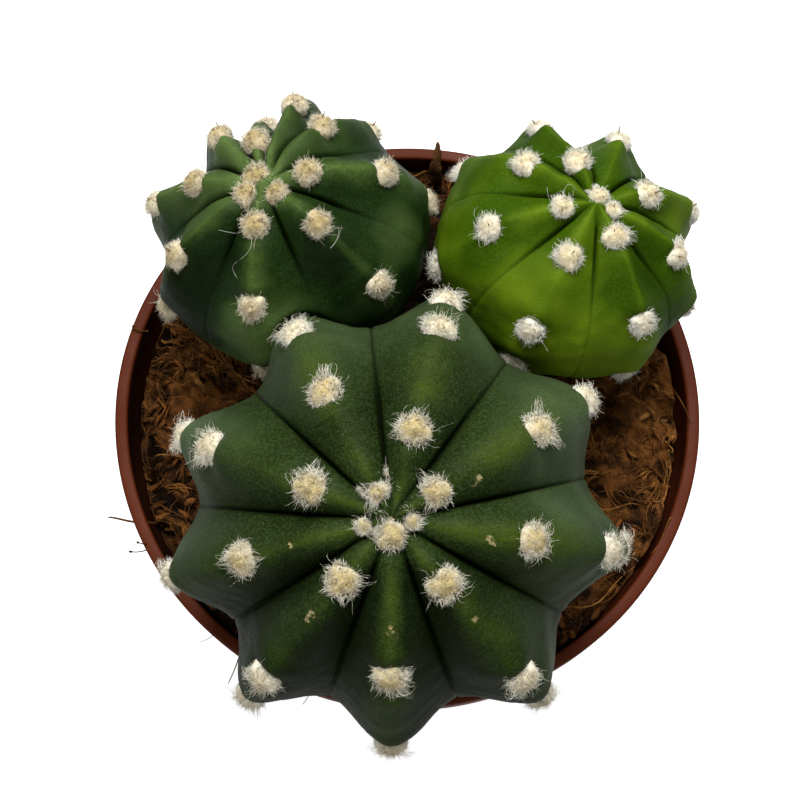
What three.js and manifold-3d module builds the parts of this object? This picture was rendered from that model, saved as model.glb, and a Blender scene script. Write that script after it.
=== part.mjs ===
// A round ribbed cactus of three stems in a plastic nursery pot.
// Millimetres, +Z up. The origin is the middle of the pot's flat base, and the big stem leans towards -Y.
import * as THREE from 'three';
import { mergeVertices } from 'three/addons/utils/BufferGeometryUtils.js';
import Module from 'manifold-3d';

const wasm = await Module();
wasm.setup();

// Driving dimensions
const RIM_RADIUS = 60;
const POT_HEIGHT = 100;
const BASE_RADIUS = 42;
const WALL = 1.3;
const FLOOR = 2;
const LIP_WIDTH = 2.6;
const LIP_HEIGHT = 8;
const LIP_ROUND = 0.7;
const DRAIN_RADIUS = 3;
const DRAIN_CIRCLE = 30;
const DRAIN_COUNT = 6;
const SOIL_LEVEL = 95.5;
const SOIL_HOLLOW = 3.2;
const SOIL_RELIEF = 1.2;
const SOIL_CLEAR = 0.45;
const ROOT_DEPTH = 14;
const NECK_FLARE = 1.15;
const RIB_BLUNT = 0.24;
const GAP = 0.35;
const PRESS_GAP = 1.1;
const TURN = 2 * Math.PI;
const POT_SIDES = 48;
const NECK_SIDES = 16;
const SPINE_THICK = 0.4;

// Each stem: its centre, its lean towards +X and +Y in degrees, its radius at the crests, its rise above and
// its drop below the centre, how deep the grooves and the crown's dimple are, and the radius of its neck.
// Each rib: its azimuth in degrees, how far it reaches next to the others, how deep the valley to the next
// rib stays below the crown, the latitudes of its areoles, in degrees from the crown, and the size of its
// innermost tuft next to the others.
const STEMS = [
  {
    name: 'cactus_front',
    colour: 0x3d5236,
    centre: new THREE.Vector3(-2.5, -26.75, 127),
    lean: [-0.6, -12.1],
    radius: 42.3,
    rise: 33,
    drop: 33,
    groove: 6.6,
    dimple: 2.6,
    neck: 16,
    tuft: 3.4,
    spines: 0,
    rows: [8, 15, 23, 32, 42, 53, 65, 77, 89, 101, 113, 126, 139, 154],
    ribs: [
      { azimuth: 31, reach: 0.98, valley: 0.95, areoles: [12, 44, 77, 108], young: 0.85 },
      { azimuth: 76, reach: 0.97, valley: 0.9, areoles: [21, 55, 76], young: 1 },
      { azimuth: 118, reach: 0.96, valley: 1.05, areoles: [7, 35, 65], young: 0.65 },
      { azimuth: 159, reach: 0.98, valley: 0.92, areoles: [20, 55, 84, 112], young: 1 },
      { azimuth: 195, reach: 1, valley: 1.1, areoles: [7, 38, 80, 110], young: 0.45 },
      { azimuth: 231, reach: 1, valley: 1.05, areoles: [18, 57, 82, 110], young: 1 },
      { azimuth: 269, reach: 1, valley: 1.03, areoles: [4, 39, 80, 112], young: 0.9 },
      { azimuth: 309, reach: 1, valley: 1.05, areoles: [19, 57, 83, 112], young: 1 },
      { azimuth: 351, reach: 0.99, valley: 0.95, areoles: [5, 34, 67, 88, 115], young: 0.45 },
    ],
  },
  {
    name: 'cactus_left',
    colour: 0x2c4f24,
    centre: new THREE.Vector3(-23.1, 30.15, 122),
    lean: [-9.2, 4.5],
    radius: 28,
    rise: 23.8,
    drop: 28,
    groove: 5,
    dimple: 2,
    neck: 12,
    tuft: 3.1,
    spines: 1,
    rows: [10, 20, 32, 45, 58, 72, 86, 100, 115, 131, 149],
    ribs: [
      { azimuth: 13, reach: 1, valley: 0.4, areoles: [18, 52, 93, 122], young: 1 },
      { azimuth: 54, reach: 1, valley: 0.8, areoles: [38, 86, 115], young: 1 },
      { azimuth: 80, reach: 1, valley: 1, areoles: [48, 106], young: 1 },
      { azimuth: 102, reach: 0.84, valley: 0.9, areoles: [20, 72, 108], young: 1 },
      { azimuth: 128, reach: 0.94, valley: 1.3, areoles: [5, 38, 102], young: 0.75 },
      { azimuth: 171, reach: 1, valley: 0.6, areoles: [30, 64, 112], young: 1 },
      { azimuth: 210, reach: 1, valley: 0.3, areoles: [8, 48, 88, 118], young: 0.7 },
      { azimuth: 262, reach: 1, valley: 0.45, areoles: [18, 51, 92], young: 1 },
      { azimuth: 321, reach: 1, valley: 0.12, areoles: [7, 28, 65], young: 0.65 },
    ],
  },
  {
    name: 'cactus_right',
    colour: 0x4f7d1e,
    centre: new THREE.Vector3(32, 27.95, 120),
    lean: [8.6, 5.3],
    radius: 26.2,
    rise: 21.7,
    drop: 26,
    groove: 4.4,
    dimple: 1.8,
    neck: 11,
    tuft: 3.1,
    spines: 1,
    rows: [10, 20, 32, 45, 58, 72, 86, 100, 115, 131, 149],
    ribs: [
      { azimuth: 17, reach: 1, valley: 1, areoles: [25, 71, 105], young: 1 },
      { azimuth: 67, reach: 1, valley: 1.1, areoles: [4, 46, 84], young: 0.75 },
      { azimuth: 109, reach: 1, valley: 0.6, areoles: [21, 61, 105], young: 1 },
      { azimuth: 144, reach: 1, valley: 0.15, areoles: [36, 85, 115], young: 1 },
      { azimuth: 191, reach: 1, valley: 0.15, areoles: [15, 47, 90], young: 0.85 },
      { azimuth: 243, reach: 1, valley: 0.3, areoles: [28, 64, 89], young: 1 },
      { azimuth: 296, reach: 1, valley: 0.3, areoles: [17, 57, 104], young: 0.95 },
      { azimuth: 337, reach: 1, valley: 0.7, areoles: [8, 45, 92, 120], young: 0.65 },
    ],
  },
];

// Where columns of the skin stand between one rib's crest and the next
const COLUMNS = [0, 0.1, 0.3, 0.5, 0.7, 0.9];

const radians = THREE.MathUtils.degToRad;
const smoothstep = THREE.MathUtils.smoothstep;
const lerp = THREE.MathUtils.lerp;

// A seeded random source, so that every build is the same
function makeRandom(seed) {
  let state = seed;
  return () => {
    state = (state * 1664525 + 1013904223) % 4294967296;
    return state / 4294967296;
  };
}

// Solids

// A closed body through rings of points from a start point to an end point. Rings run anticlockwise seen
// from the end.
function loft(rings, start, end) {
  const count = rings[0].length;
  const points = [start, ...rings.flat(), end];
  const last = points.length - 1;
  const index = [];
  for (let j = 0; j < count; j += 1) {
    const next = (j + 1) % count;
    index.push(0, 1 + next, 1 + j);
    for (let i = 0; i < rings.length - 1; i += 1) {
      const low = 1 + i * count;
      const high = low + count;
      index.push(low + j, low + next, high + next);
      index.push(low + j, high + next, high + j);
    }
    index.push(last, last - count + j, last - count + next);
  }
  const geometry = new THREE.BufferGeometry().setFromPoints(points);
  geometry.setIndex(index);
  return geometry;
}

// A geometry as a solid that can be joined or cut
function solid(geometry) {
  const bare = geometry.clone();
  bare.deleteAttribute('normal');
  bare.deleteAttribute('uv');
  const merged = mergeVertices(bare, 1e-4);
  return new wasm.Manifold(new wasm.Mesh({
    numProp: 3,
    vertProperties: new Float32Array(merged.attributes.position.array),
    triVerts: new Uint32Array(merged.index.array),
  }));
}

// A joined or cut solid as a geometry again
function geometryOf(body) {
  const mesh = body.getMesh();
  const geometry = new THREE.BufferGeometry();
  geometry.setAttribute('position', new THREE.BufferAttribute(new Float32Array(mesh.vertProperties), 3));
  geometry.setIndex([...mesh.triVerts]);
  geometry.computeVertexNormals();
  return geometry;
}

function piece(name, geometry, colour, roughness) {
  const material = new THREE.MeshStandardMaterial({ color: colour, roughness, metalness: 0 });
  const mesh = new THREE.Mesh(geometry, material);
  mesh.name = name;
  return mesh;
}

// Stems

// A stem's own axes: east and north across it, and its axis through the crown
function axesOf(stem) {
  const [toX, toY] = stem.lean.map((degrees) => Math.sin(radians(degrees)));
  const axis = new THREE.Vector3(toX, toY, Math.sqrt(1 - toX * toX - toY * toY));
  const east = new THREE.Vector3(0, 1, 0).cross(axis).normalize();
  const north = axis.clone().cross(east);
  return { east, north, axis };
}

// The crest line's ring radius and height at a latitude: an ellipse above the middle, and a blunt cone below
function crestLine(stem, latitude) {
  const fullness = latitude > Math.PI / 2 ? 1.25 : 1;
  const height = latitude > Math.PI / 2 ? stem.drop : stem.rise;
  const across = Math.abs(Math.sin(latitude)) ** fullness;
  const along = Math.sign(Math.cos(latitude)) * Math.abs(Math.cos(latitude)) ** fullness;
  return [stem.radius * across, height * along];
}

// The latitude whose crest line lies in the direction of a ring radius and a height
function latitudeOf(stem, ring, height) {
  if (height >= 0) {
    return Math.atan2(ring / stem.radius, height / stem.rise);
  }
  const across = (ring / stem.radius) ** 0.8;
  const along = (-height / stem.drop) ** 0.8;
  return Math.PI - Math.atan2(across, along);
}

// The two ribs beside an azimuth, and how far it lies from the first crest to the second
function ribsBeside(stem, azimuth) {
  const ribs = stem.ribs;
  const degrees = THREE.MathUtils.euclideanModulo(THREE.MathUtils.radToDeg(azimuth) - ribs[0].azimuth, 360);
  let first = ribs.length - 1;
  while (ribs[first].azimuth - ribs[0].azimuth > degrees) {
    first -= 1;
  }
  const from = ribs[first].azimuth - ribs[0].azimuth;
  const to = first + 1 < ribs.length ? ribs[first + 1].azimuth - ribs[0].azimuth : 360;
  return { left: ribs[first], right: ribs[(first + 1) % ribs.length], part: (degrees - from) / (to - from) };
}

// How far the skin stands back from the crest line, from 0 on a crest to 1 in a groove. Near the crown the
// grooves are sharp clefts between round ribs. Lower down they are wide hollows between blunt edges.
function ribSection(part, latitude) {
  const away = 1 - Math.abs(2 * part - 1);
  const cleft = away ** 1.5;
  const edge = (Math.hypot(away, RIB_BLUNT) - RIB_BLUNT) / (Math.hypot(1, RIB_BLUNT) - RIB_BLUNT);
  const hollow = Math.sin(edge * Math.PI / 2);
  return lerp(cleft, hollow, smoothstep(latitude, 0.25, 1.5));
}

// Distance from the stem's centre to its skin at a latitude and an azimuth
function reachOf(stem, latitude, azimuth) {
  const { left, right, part } = ribsBeside(stem, azimuth);
  const [ring, height] = crestLine(stem, latitude);
  const own = lerp(left.reach, right.reach, smoothstep(part, 0, 1));
  const crest = Math.hypot(ring, height) * lerp(1, own, smoothstep(latitude, 0.3, 1.1));
  const opening = 1 - Math.exp(-((latitude / 0.33) ** 1.5));
  const valley = lerp(1, left.valley, smoothstep(latitude, 0.35, 1.25));
  const closing = 1 - 0.75 * smoothstep(latitude, 1.8, 2.8);
  const groove = stem.groove * opening * valley * closing * ribSection(part, latitude);
  const dimple = stem.dimple * Math.exp(-((latitude / 0.24) ** 2));
  return crest - groove - dimple;
}

// A stem's skin at a latitude and an azimuth, raised or sunk by lift
function onSkin(stem, latitude, azimuth, lift = 0) {
  const { east, north, axis } = axesOf(stem);
  const [ring, height] = crestLine(stem, latitude);
  const size = (reachOf(stem, latitude, azimuth) + lift) / Math.hypot(ring, height);
  return stem.centre.clone()
    .addScaledVector(east, size * ring * Math.cos(azimuth))
    .addScaledVector(north, size * ring * Math.sin(azimuth))
    .addScaledVector(axis, size * height);
}

// A point that would lie in a neighbouring stem is pressed out to a small gap from its skin
function pressClear(point, neighbours) {
  for (const other of neighbours) {
    const { east, north, axis } = axesOf(other);
    const from = point.clone().sub(other.centre);
    const x = from.dot(east);
    const y = from.dot(north);
    const height = from.dot(axis);
    const latitude = latitudeOf(other, Math.hypot(x, y), height);
    const limit = reachOf(other, latitude, Math.atan2(y, x)) + PRESS_GAP;
    if (from.length() < limit) {
      point.copy(other.centre).add(from.setLength(limit));
    }
  }
  return point;
}

function skin(stem, neighbours) {
  const azimuths = stem.ribs.flatMap((rib, i) => {
    const next = i + 1 < stem.ribs.length ? stem.ribs[i + 1].azimuth : stem.ribs[0].azimuth + 360;
    return COLUMNS.map((part) => radians(lerp(rib.azimuth, next, part)));
  });
  const rings = stem.rows.toReversed().map((row) => (
    azimuths.map((azimuth) => pressClear(onSkin(stem, radians(row), azimuth), neighbours))
  ));
  return loft(rings, onSkin(stem, Math.PI, 0), onSkin(stem, 0.01, 0));
}

// The skin's outward normal and its downhill direction at an areole, from nearby points of the crest
function seatOf(stem, latitude, azimuth) {
  const step = 0.06;
  const point = onSkin(stem, latitude, azimuth);
  const down = onSkin(stem, latitude + step, azimuth).sub(onSkin(stem, latitude - step, azimuth)).normalize();
  const away = point.clone().sub(stem.centre);
  const side = down.clone().cross(away).normalize();
  const normal = side.clone().cross(down).normalize();
  return { point, down, side, normal };
}

// A cushion of wool with a ragged edge, its foot sunk in the skin
function tuft(seat, radius, random) {
  const sides = 7;
  const levels = [
    { across: 1, up: 0, ragged: 0.2 },
    { across: 0.84, up: 0.42, ragged: 0.14 },
  ];
  const turn = random() * TURN;
  const rings = levels.map(({ across, up, ragged }) => {
    const ring = [];
    for (let j = 0; j < sides; j += 1) {
      const angle = turn + (j / sides) * TURN;
      const out = radius * across * (1 + ragged * (2 * random() - 1));
      ring.push(seat.point.clone()
        .addScaledVector(seat.side, out * Math.cos(angle))
        .addScaledVector(seat.down, -out * Math.sin(angle))
        .addScaledVector(seat.normal, radius * up));
    }
    return ring;
  });
  const foot = seat.point.clone().addScaledVector(seat.normal, -0.7 * radius);
  const top = seat.point.clone().addScaledVector(seat.normal, 0.72 * radius);
  const order = seat.side.clone().cross(seat.down.clone().negate()).dot(seat.normal) > 0;
  return loft(order ? rings : rings.map((ring) => ring.toReversed()), foot, top);
}

// A short three-sided spine that leaves the wool at a slant
function spine(seat, radius, random) {
  const angle = random() * TURN;
  const lean = new THREE.Vector3()
    .addScaledVector(seat.side, Math.cos(angle))
    .addScaledVector(seat.down, Math.sin(angle));
  const along = seat.normal.clone().addScaledVector(lean, 0.7).normalize();
  const across = along.clone().cross(seat.side).normalize();
  const other = along.clone().cross(across);
  const root = seat.point.clone()
    .addScaledVector(lean, 0.25 * radius)
    .addScaledVector(seat.normal, -0.2 * radius);
  const ring = [0, 1, 2].map((j) => root.clone()
    .addScaledVector(across, SPINE_THICK * Math.cos((j / 3) * TURN))
    .addScaledVector(other, SPINE_THICK * Math.sin((j / 3) * TURN)));
  const start = root.clone().addScaledVector(along, -0.3);
  return loft([ring], start, root.clone().addScaledVector(along, (1.3 + 0.3 * random()) * radius));
}

// The neck: upright in the soil, and flared above it up into the body
function neck(stem) {
  const low = SOIL_LEVEL - ROOT_DEPTH;
  const top = SOIL_LEVEL + 1.5;
  const high = stem.centre.z - 0.7 * stem.drop;
  const foot = footOf(stem);
  const profile = [[0, low], [stem.neck, low], [stem.neck, top], [NECK_FLARE * stem.neck, high], [0, high]]
    .map(([r, z]) => new THREE.Vector2(r, z));
  const flare = new THREE.LatheGeometry(profile, NECK_SIDES);
  flare.rotateX(Math.PI / 2);
  flare.translate(foot.x, foot.y, 0);
  return flare;
}

// Where a stem's neck goes into the soil
function footOf(stem) {
  const foot = onSkin(stem, Math.PI, 0);
  return new THREE.Vector2(foot.x, foot.y);
}

function stemPiece(stem, neighbours, seed) {
  const random = makeRandom(seed);
  let body = solid(skin(stem, neighbours)).add(solid(neck(stem)));
  for (const rib of stem.ribs) {
    for (const [i, row] of rib.areoles.entries()) {
      const seat = seatOf(stem, radians(row), radians(rib.azimuth));
      const size = stem.tuft * (i === 0 ? rib.young : 1) * (0.94 + 0.14 * random());
      body = body.add(solid(tuft(seat, size, random)));
      for (let n = 0; n < stem.spines; n += 1) {
        body = body.add(solid(spine(seat, size, random)));
      }
    }
  }
  return piece(stem.name, geometryOf(body), stem.colour, 0.6);
}

// Pot, soil and bark

// Outer radius of the pot's wall at a height below the lip
function wallRadius(z) {
  const top = RIM_RADIUS - LIP_WIDTH + 0.5;
  return lerp(BASE_RADIUS, top, z / (POT_HEIGHT - LIP_HEIGHT));
}

function pot() {
  const lipFoot = POT_HEIGHT - LIP_HEIGHT;
  const inner = RIM_RADIUS - LIP_WIDTH;
  const profile = [
    [0, 0],
    [BASE_RADIUS - 1, 0],
    [wallRadius(1), 1],
    [wallRadius(lipFoot), lipFoot],
    [RIM_RADIUS - LIP_ROUND, lipFoot],
    [RIM_RADIUS, lipFoot + LIP_ROUND],
    [RIM_RADIUS, POT_HEIGHT - LIP_ROUND],
    [RIM_RADIUS - LIP_ROUND, POT_HEIGHT],
    [inner + LIP_ROUND, POT_HEIGHT],
    [inner, POT_HEIGHT - LIP_ROUND],
    [wallRadius(lipFoot) - WALL, lipFoot],
    [wallRadius(FLOOR) - WALL, FLOOR],
    [0, FLOOR],
  ].map(([r, z]) => new THREE.Vector2(r, z));
  const shell = new THREE.LatheGeometry(profile, POT_SIDES);
  shell.rotateX(Math.PI / 2);
  let body = solid(shell);
  for (let i = 0; i < DRAIN_COUNT; i += 1) {
    const angle = (i / DRAIN_COUNT) * TURN;
    const drain = new THREE.CylinderGeometry(DRAIN_RADIUS, DRAIN_RADIUS, 3 * FLOOR, 12);
    drain.rotateX(Math.PI / 2);
    drain.translate(DRAIN_CIRCLE * Math.cos(angle), DRAIN_CIRCLE * Math.sin(angle), 0);
    body = body.subtract(solid(drain));
  }
  return piece('pot', geometryOf(body), 0x8a4a36, 0.5);
}

// Height of the coir at a place: a shallow hollow from the wall to the middle, with waves of a few lengths
function soilHeight(x, y) {
  const broad = Math.sin(x * 0.16 + 0.6) * Math.cos(y * 0.13 + 1.1);
  const lumps = Math.sin(x * 0.41 + 1.9) * Math.sin(y * 0.37 + 0.4);
  const crumbs = Math.sin(x * 0.83 + y * 0.29) * Math.cos(y * 0.91 - x * 0.23);
  const hollow = SOIL_HOLLOW * (1 - (x * x + y * y) / (RIM_RADIUS * RIM_RADIUS));
  return SOIL_LEVEL - hollow + SOIL_RELIEF * (0.5 * broad + 0.4 * lumps + 0.45 * crumbs);
}

function soil(stems) {
  const floor = FLOOR + GAP;
  const brim = wallRadius(POT_HEIGHT - LIP_HEIGHT) - WALL - SOIL_CLEAR;
  const base = wallRadius(floor) - WALL - SOIL_CLEAR;
  const circle = (radius, heightAt) => Array.from({ length: POT_SIDES }, (_, j) => {
    const angle = (j / POT_SIDES) * TURN;
    const x = radius * Math.cos(angle);
    const y = radius * Math.sin(angle);
    return new THREE.Vector3(x, y, heightAt(x, y));
  });
  const steps = 8;
  const rings = [circle(base, () => floor), circle(brim, () => SOIL_LEVEL - SOIL_HOLLOW)];
  for (let i = 0; i < steps; i += 1) {
    rings.push(circle(brim * (1 - i / steps) - 0.5, soilHeight));
  }
  const start = new THREE.Vector3(0, 0, floor);
  let body = solid(loft(rings, start, new THREE.Vector3(0, 0, soilHeight(0, 0))));
  for (const stem of stems) {
    const foot = footOf(stem);
    const low = SOIL_LEVEL - ROOT_DEPTH - GAP;
    const radius = stem.neck + 2 * GAP;
    const hole = new THREE.CylinderGeometry(radius, radius, 2 * ROOT_DEPTH, NECK_SIDES);
    hole.rotateX(Math.PI / 2);
    hole.translate(foot.x, foot.y, low + ROOT_DEPTH);
    body = body.subtract(solid(hole));
  }
  return piece('soil', geometryOf(body), 0x4a2c14, 0.95);
}

// A sliver of bark that stands on the coir and leans over the lip at the back
function barkSliver() {
  const stand = { x: 6.3, y: 54.2 };
  const foot = soilHeight(stand.x, stand.y) + 2 * GAP;
  const tip = POT_HEIGHT + 4.6;
  const route = [
    { part: 0.08, out: 0, wide: 1.1, thick: 0.6 },
    { part: 0.4, out: 0.9, wide: 1.15, thick: 0.6 },
    { part: 0.66, out: 1.9, wide: 1.1, thick: 0.55 },
    { part: 0.9, out: 4.0, wide: 0.8, thick: 0.45 },
  ];
  const place = (part, out) => new THREE.Vector3(stand.x + 0.05 * out, stand.y + out, lerp(foot, tip, part));
  const rings = route.map(({ part, out, wide, thick }) => {
    const section = [
      [wide, 0],
      [0.4 * wide, thick],
      [-wide, 0.6 * thick],
      [-0.7 * wide, -thick],
      [0.5 * wide, -thick],
    ];
    return section.map(([dx, dy]) => place(part, out).add(new THREE.Vector3(dx, dy, 0.3 * dy)));
  });
  return piece('bark_sliver', loft(rings, place(0, -0.1), place(1, 5.1)), 0x5a371e, 0.9);
}

const cactus = new THREE.Group();
cactus.add(pot(), soil(STEMS), barkSliver());
STEMS.forEach((stem, i) => {
  cactus.add(stemPiece(stem, STEMS.slice(0, i), 101 + 17 * i));
});

export default cactus;
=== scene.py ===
"""A round ribbed cactus of three stems with woolly areoles, in a terracotta coloured nursery pot of coir."""
from typing import NamedTuple

import bpy
import numpy as np
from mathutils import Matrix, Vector


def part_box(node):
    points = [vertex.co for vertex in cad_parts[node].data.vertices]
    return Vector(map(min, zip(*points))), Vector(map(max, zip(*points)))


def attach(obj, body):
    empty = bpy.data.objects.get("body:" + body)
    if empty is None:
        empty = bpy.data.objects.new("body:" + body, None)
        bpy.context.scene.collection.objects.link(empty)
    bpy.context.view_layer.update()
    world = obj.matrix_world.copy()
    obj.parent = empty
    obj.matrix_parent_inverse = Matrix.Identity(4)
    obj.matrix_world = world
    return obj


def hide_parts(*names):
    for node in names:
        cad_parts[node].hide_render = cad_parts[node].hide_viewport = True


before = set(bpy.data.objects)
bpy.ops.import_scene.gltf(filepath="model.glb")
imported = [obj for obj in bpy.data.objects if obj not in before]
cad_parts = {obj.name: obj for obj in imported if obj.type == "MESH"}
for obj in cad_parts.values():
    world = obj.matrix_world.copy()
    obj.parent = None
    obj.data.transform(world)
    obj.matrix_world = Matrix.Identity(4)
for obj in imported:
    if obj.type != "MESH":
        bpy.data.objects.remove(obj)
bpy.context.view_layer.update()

bl_info = {
    "name": "Potted Round Cactus",
    "version": (1, 0, 0),
    "blender": (4, 5, 0),
    "location": "3D Viewport > Sidebar > Cactus",
    "description": "Grows a ribbed cactus of three stems in a round pot",
    "category": "Add Mesh",
}

# Sizes are in millimetres and degrees where nothing else is said, as in the solids' table of stems, which the
# one here follows. Meshes are in metres.
MM = 0.001
TURN = 2 * np.pi
RIM_RADIUS, _, POT_HEIGHT = np.array(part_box("pot")[1]) / MM
BASE_RADIUS = 42
WALL = 1.3
FLOOR = 2
LIP_WIDTH = 2.6
LIP_HEIGHT = 8
BASE_ROUND = 1.0
INNER_ROUND = 0.6
POT_COLUMNS = 216
DRAIN_RADIUS = 3
DRAIN_CIRCLE = 30
DRAIN_COUNT = 6
# How far the soft wall is pressed out across behind the middle, as a share of its radius
MOUTH_SPREAD = 0.011
SOIL_LEVEL = 95.5
SOIL_HOLLOW = 3.2
SOIL_RELIEF = 1.2
LIP_FOOT = POT_HEIGHT - LIP_HEIGHT
COIR_COLUMNS = 256
COIR_ROWS = 88
ROOT_DEPTH = 14
NECK_COLUMNS = 64
# Between stems that press on each other
PRESS_GAP = 1.1
# The sliver of bark: where its foot stands, how far its tip leans back, and its radius
SLIVER_FOOT = (6.3, 54.2)
SLIVER_LEAN = 5.1
SLIVER_RADIUS = 1.25

# All stems share these: the power of the crest line's ellipse below the middle, and in radians from the crown
# where the ribs take their own reach, where the grooves close again and by what share, and the dimple's width
FULLNESS = 1.25
REACHED = (0.3, 1.1)
CLOSING = (1.8, 2.8)
CLOSED = 0.75
DIMPLE_WIDTH = 0.24


class Grooves(NamedTuple):
    """How a stem's grooves are made. Angles are in radians from the crown."""
    # Where they open
    opening: float
    # Power of the section between the ribs near the crown
    fold: float
    # From where to where they take the ribs' own depths
    settled: tuple
    # From where to where the ribs take their edges, and how blunt those are
    edged: tuple
    blunt: float
    # How much of their fine line is left low on the stem
    creased: float
    # How much painted shade darkens the skin in each of them, in the ribs' order, and the power of that from
    # crest to groove
    painted_shade: tuple
    painted_shade_power: float


GROOVES = {
    "front": Grooves(
        opening=0.5, fold=1.8, settled=(0.2, 0.9), edged=(0.25, 1.5), blunt=0.3, creased=0.85,
        painted_shade=(0.3, 0.4, 0.5, 0.6, 1.0, 2.2, 2.2, 0.7, 0.3), painted_shade_power=1.5),
    "left": Grooves(
        opening=0.55, fold=2.0, settled=(0.45, 1.35), edged=(0.2, 1.0), blunt=0.15, creased=0.4,
        painted_shade=(0.3, 0.3, 0.4, 0.6, 0.4, 0.2, 0.75, 0.45, 0.6), painted_shade_power=0.6),
    "right": Grooves(
        opening=0.48, fold=1.5, settled=(0.3, 1.0), edged=(0.15, 0.8), blunt=0.1, creased=0.6,
        painted_shade=(0.3, 0.3, 0.2, 0.1, 0.3, 0.0, 0.8, 0.3), painted_shade_power=0.6),
}
# The skins' grids, and how much their columns crowd towards the grooves
COLUMNS_PER_RIB = {"front": 36, "left": 28, "right": 28}
ROWS = {"front": 124, "left": 92, "right": 92}
CROWDING = 0.6
# The fine line in each groove: widths of its crease and of its painted shade
CREASE_WIDTH = 0.35
LINE_WIDTH = 0.32
# The cleft round the crown: latitude and spread in radians, depth, and widths of its hollow and of its
# painted shade
CLEFT_LATITUDE = 0.42
CLEFT_SPREAD = 0.3
CLEFT_DEPTH = 0.9
CLEFT_WIDTH = 0.4
CLEFT_SHADE_WIDTH = 0.5


class Rib(NamedTuple):
    """Azimuth, reach next to the other ribs, valley to the next rib, the areoles' latitudes from the crown,
    and the size of the innermost tuft next to the others."""
    azimuth: float
    reach: float
    valley: float
    areoles: tuple
    young: float = 1


class Stem(NamedTuple):
    """A stem's centre, its lean to +X and +Y, its crest line's radius, rise and drop, how deep its grooves
    and crown dimple are, its neck's radius, its tufts' size and its ribs."""
    name: str
    centre: tuple
    lean: tuple
    radius: float
    rise: float
    drop: float
    groove: float
    dimple: float
    neck: float
    tuft: float
    ribs: tuple


FRONT = Stem(
    "front", (-2.5, -26.75, 127), (-0.6, -12.1), 42.3, 33, 33, 6.6, 2.6, 16, 3.55,
    (
        Rib(31, 0.98, 0.95, (12, 44, 77, 108), 0.85),
        Rib(76, 0.97, 0.9, (21, 55, 76)),
        Rib(118, 0.96, 1.05, (7, 35, 65), 0.6),
        Rib(159, 0.98, 0.92, (20, 55, 84, 112)),
        Rib(195, 1, 1.1, (7, 38, 80, 110), 0.45),
        Rib(231, 1, 1.05, (18, 57, 82, 110)),
        Rib(269, 0.985, 1.03, (4, 39, 80, 112), 0.9),
        Rib(309, 1, 1.05, (19, 57, 83, 112)),
        Rib(351, 0.99, 0.95, (5, 34, 67, 88, 115), 0.45),
    ),
)
LEFT = Stem(
    "left", (-23.1, 30.15, 122), (-9.2, 4.5), 28, 23.8, 28, 5, 2, 12, 3.1,
    (
        Rib(13, 1, 0.4, (18, 52, 93, 122)),
        Rib(54, 0.96, 0.8, (38, 86, 115)),
        Rib(80, 1, 1, (48, 106)),
        Rib(102, 0.84, 0.9, (20, 72, 108)),
        Rib(128, 0.94, 1.3, (5, 38, 102), 0.95),
        Rib(171, 1, 0.6, (30, 64, 112)),
        Rib(210, 1, 0.3, (8, 48, 88, 118), 0.95),
        Rib(262, 1, 0.45, (18, 51, 92)),
        Rib(321, 1, 0.12, (7, 28, 65), 0.85),
    ),
)
RIGHT = Stem(
    "right", (32, 27.95, 120), (8.6, 5.3), 26.2, 21.7, 26, 4.4, 1.8, 11, 3.1,
    (
        Rib(17, 1, 1, (25, 71, 105)),
        Rib(67, 1, 1.1, (4, 46, 84), 0.75),
        Rib(109, 1, 0.6, (21, 61, 105)),
        Rib(144, 1.02, 0.15, (36, 85, 115)),
        Rib(191, 1.045, 0.15, (15, 47, 90), 0.85),
        Rib(243, 1.05, 0.3, (28, 64, 89)),
        Rib(296, 1.035, 0.3, (17, 57, 104), 0.95),
        Rib(337, 1, 0.7, (8, 45, 92, 120), 0.65),
    ),
)
STEMS = (FRONT, LEFT, RIGHT)

# Wool between the big stem's young ribs: latitude and azimuth in degrees, and its spread in millimetres
WISPS = ((8, 98, 0.5), (11.5, 97, 0.35), (10, 137, 0.4), (4.5, 20, 0.6), (5, 150, 0.6), (5, 215, 0.5))


class Fleece(NamedTuple):
    """How a stem's wool grows: the cushions' height and the nap's length next to a tuft's size, how far the
    nap leans at random, and spines in each tuft."""
    high: float
    nap: float
    tangle: float
    spines: int


FLEECES = {
    "front": Fleece(0.6, 0.3, 1.1, 0),
    "left": Fleece(0.66, 0.3, 0.9, 2),
    "right": Fleece(0.5, 0.32, 1.1, 1),
}

# Corky scars on the big stem: latitude and azimuth in degrees, and radius in millimetres
SCARS = (
    (25.3, 269, 0.8), (26.6, 272, 0.6), (29.4, 267.5, 0.5), (28.6, 229.5, 0.9), (30.4, 230, 0.6),
    (24, 194.5, 0.6), (22.2, 25, 0.8), (20.5, 22, 0.6), (23, 348, 0.8), (24, 345, 0.5), (29.6, 309.5, 0.8))
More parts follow.
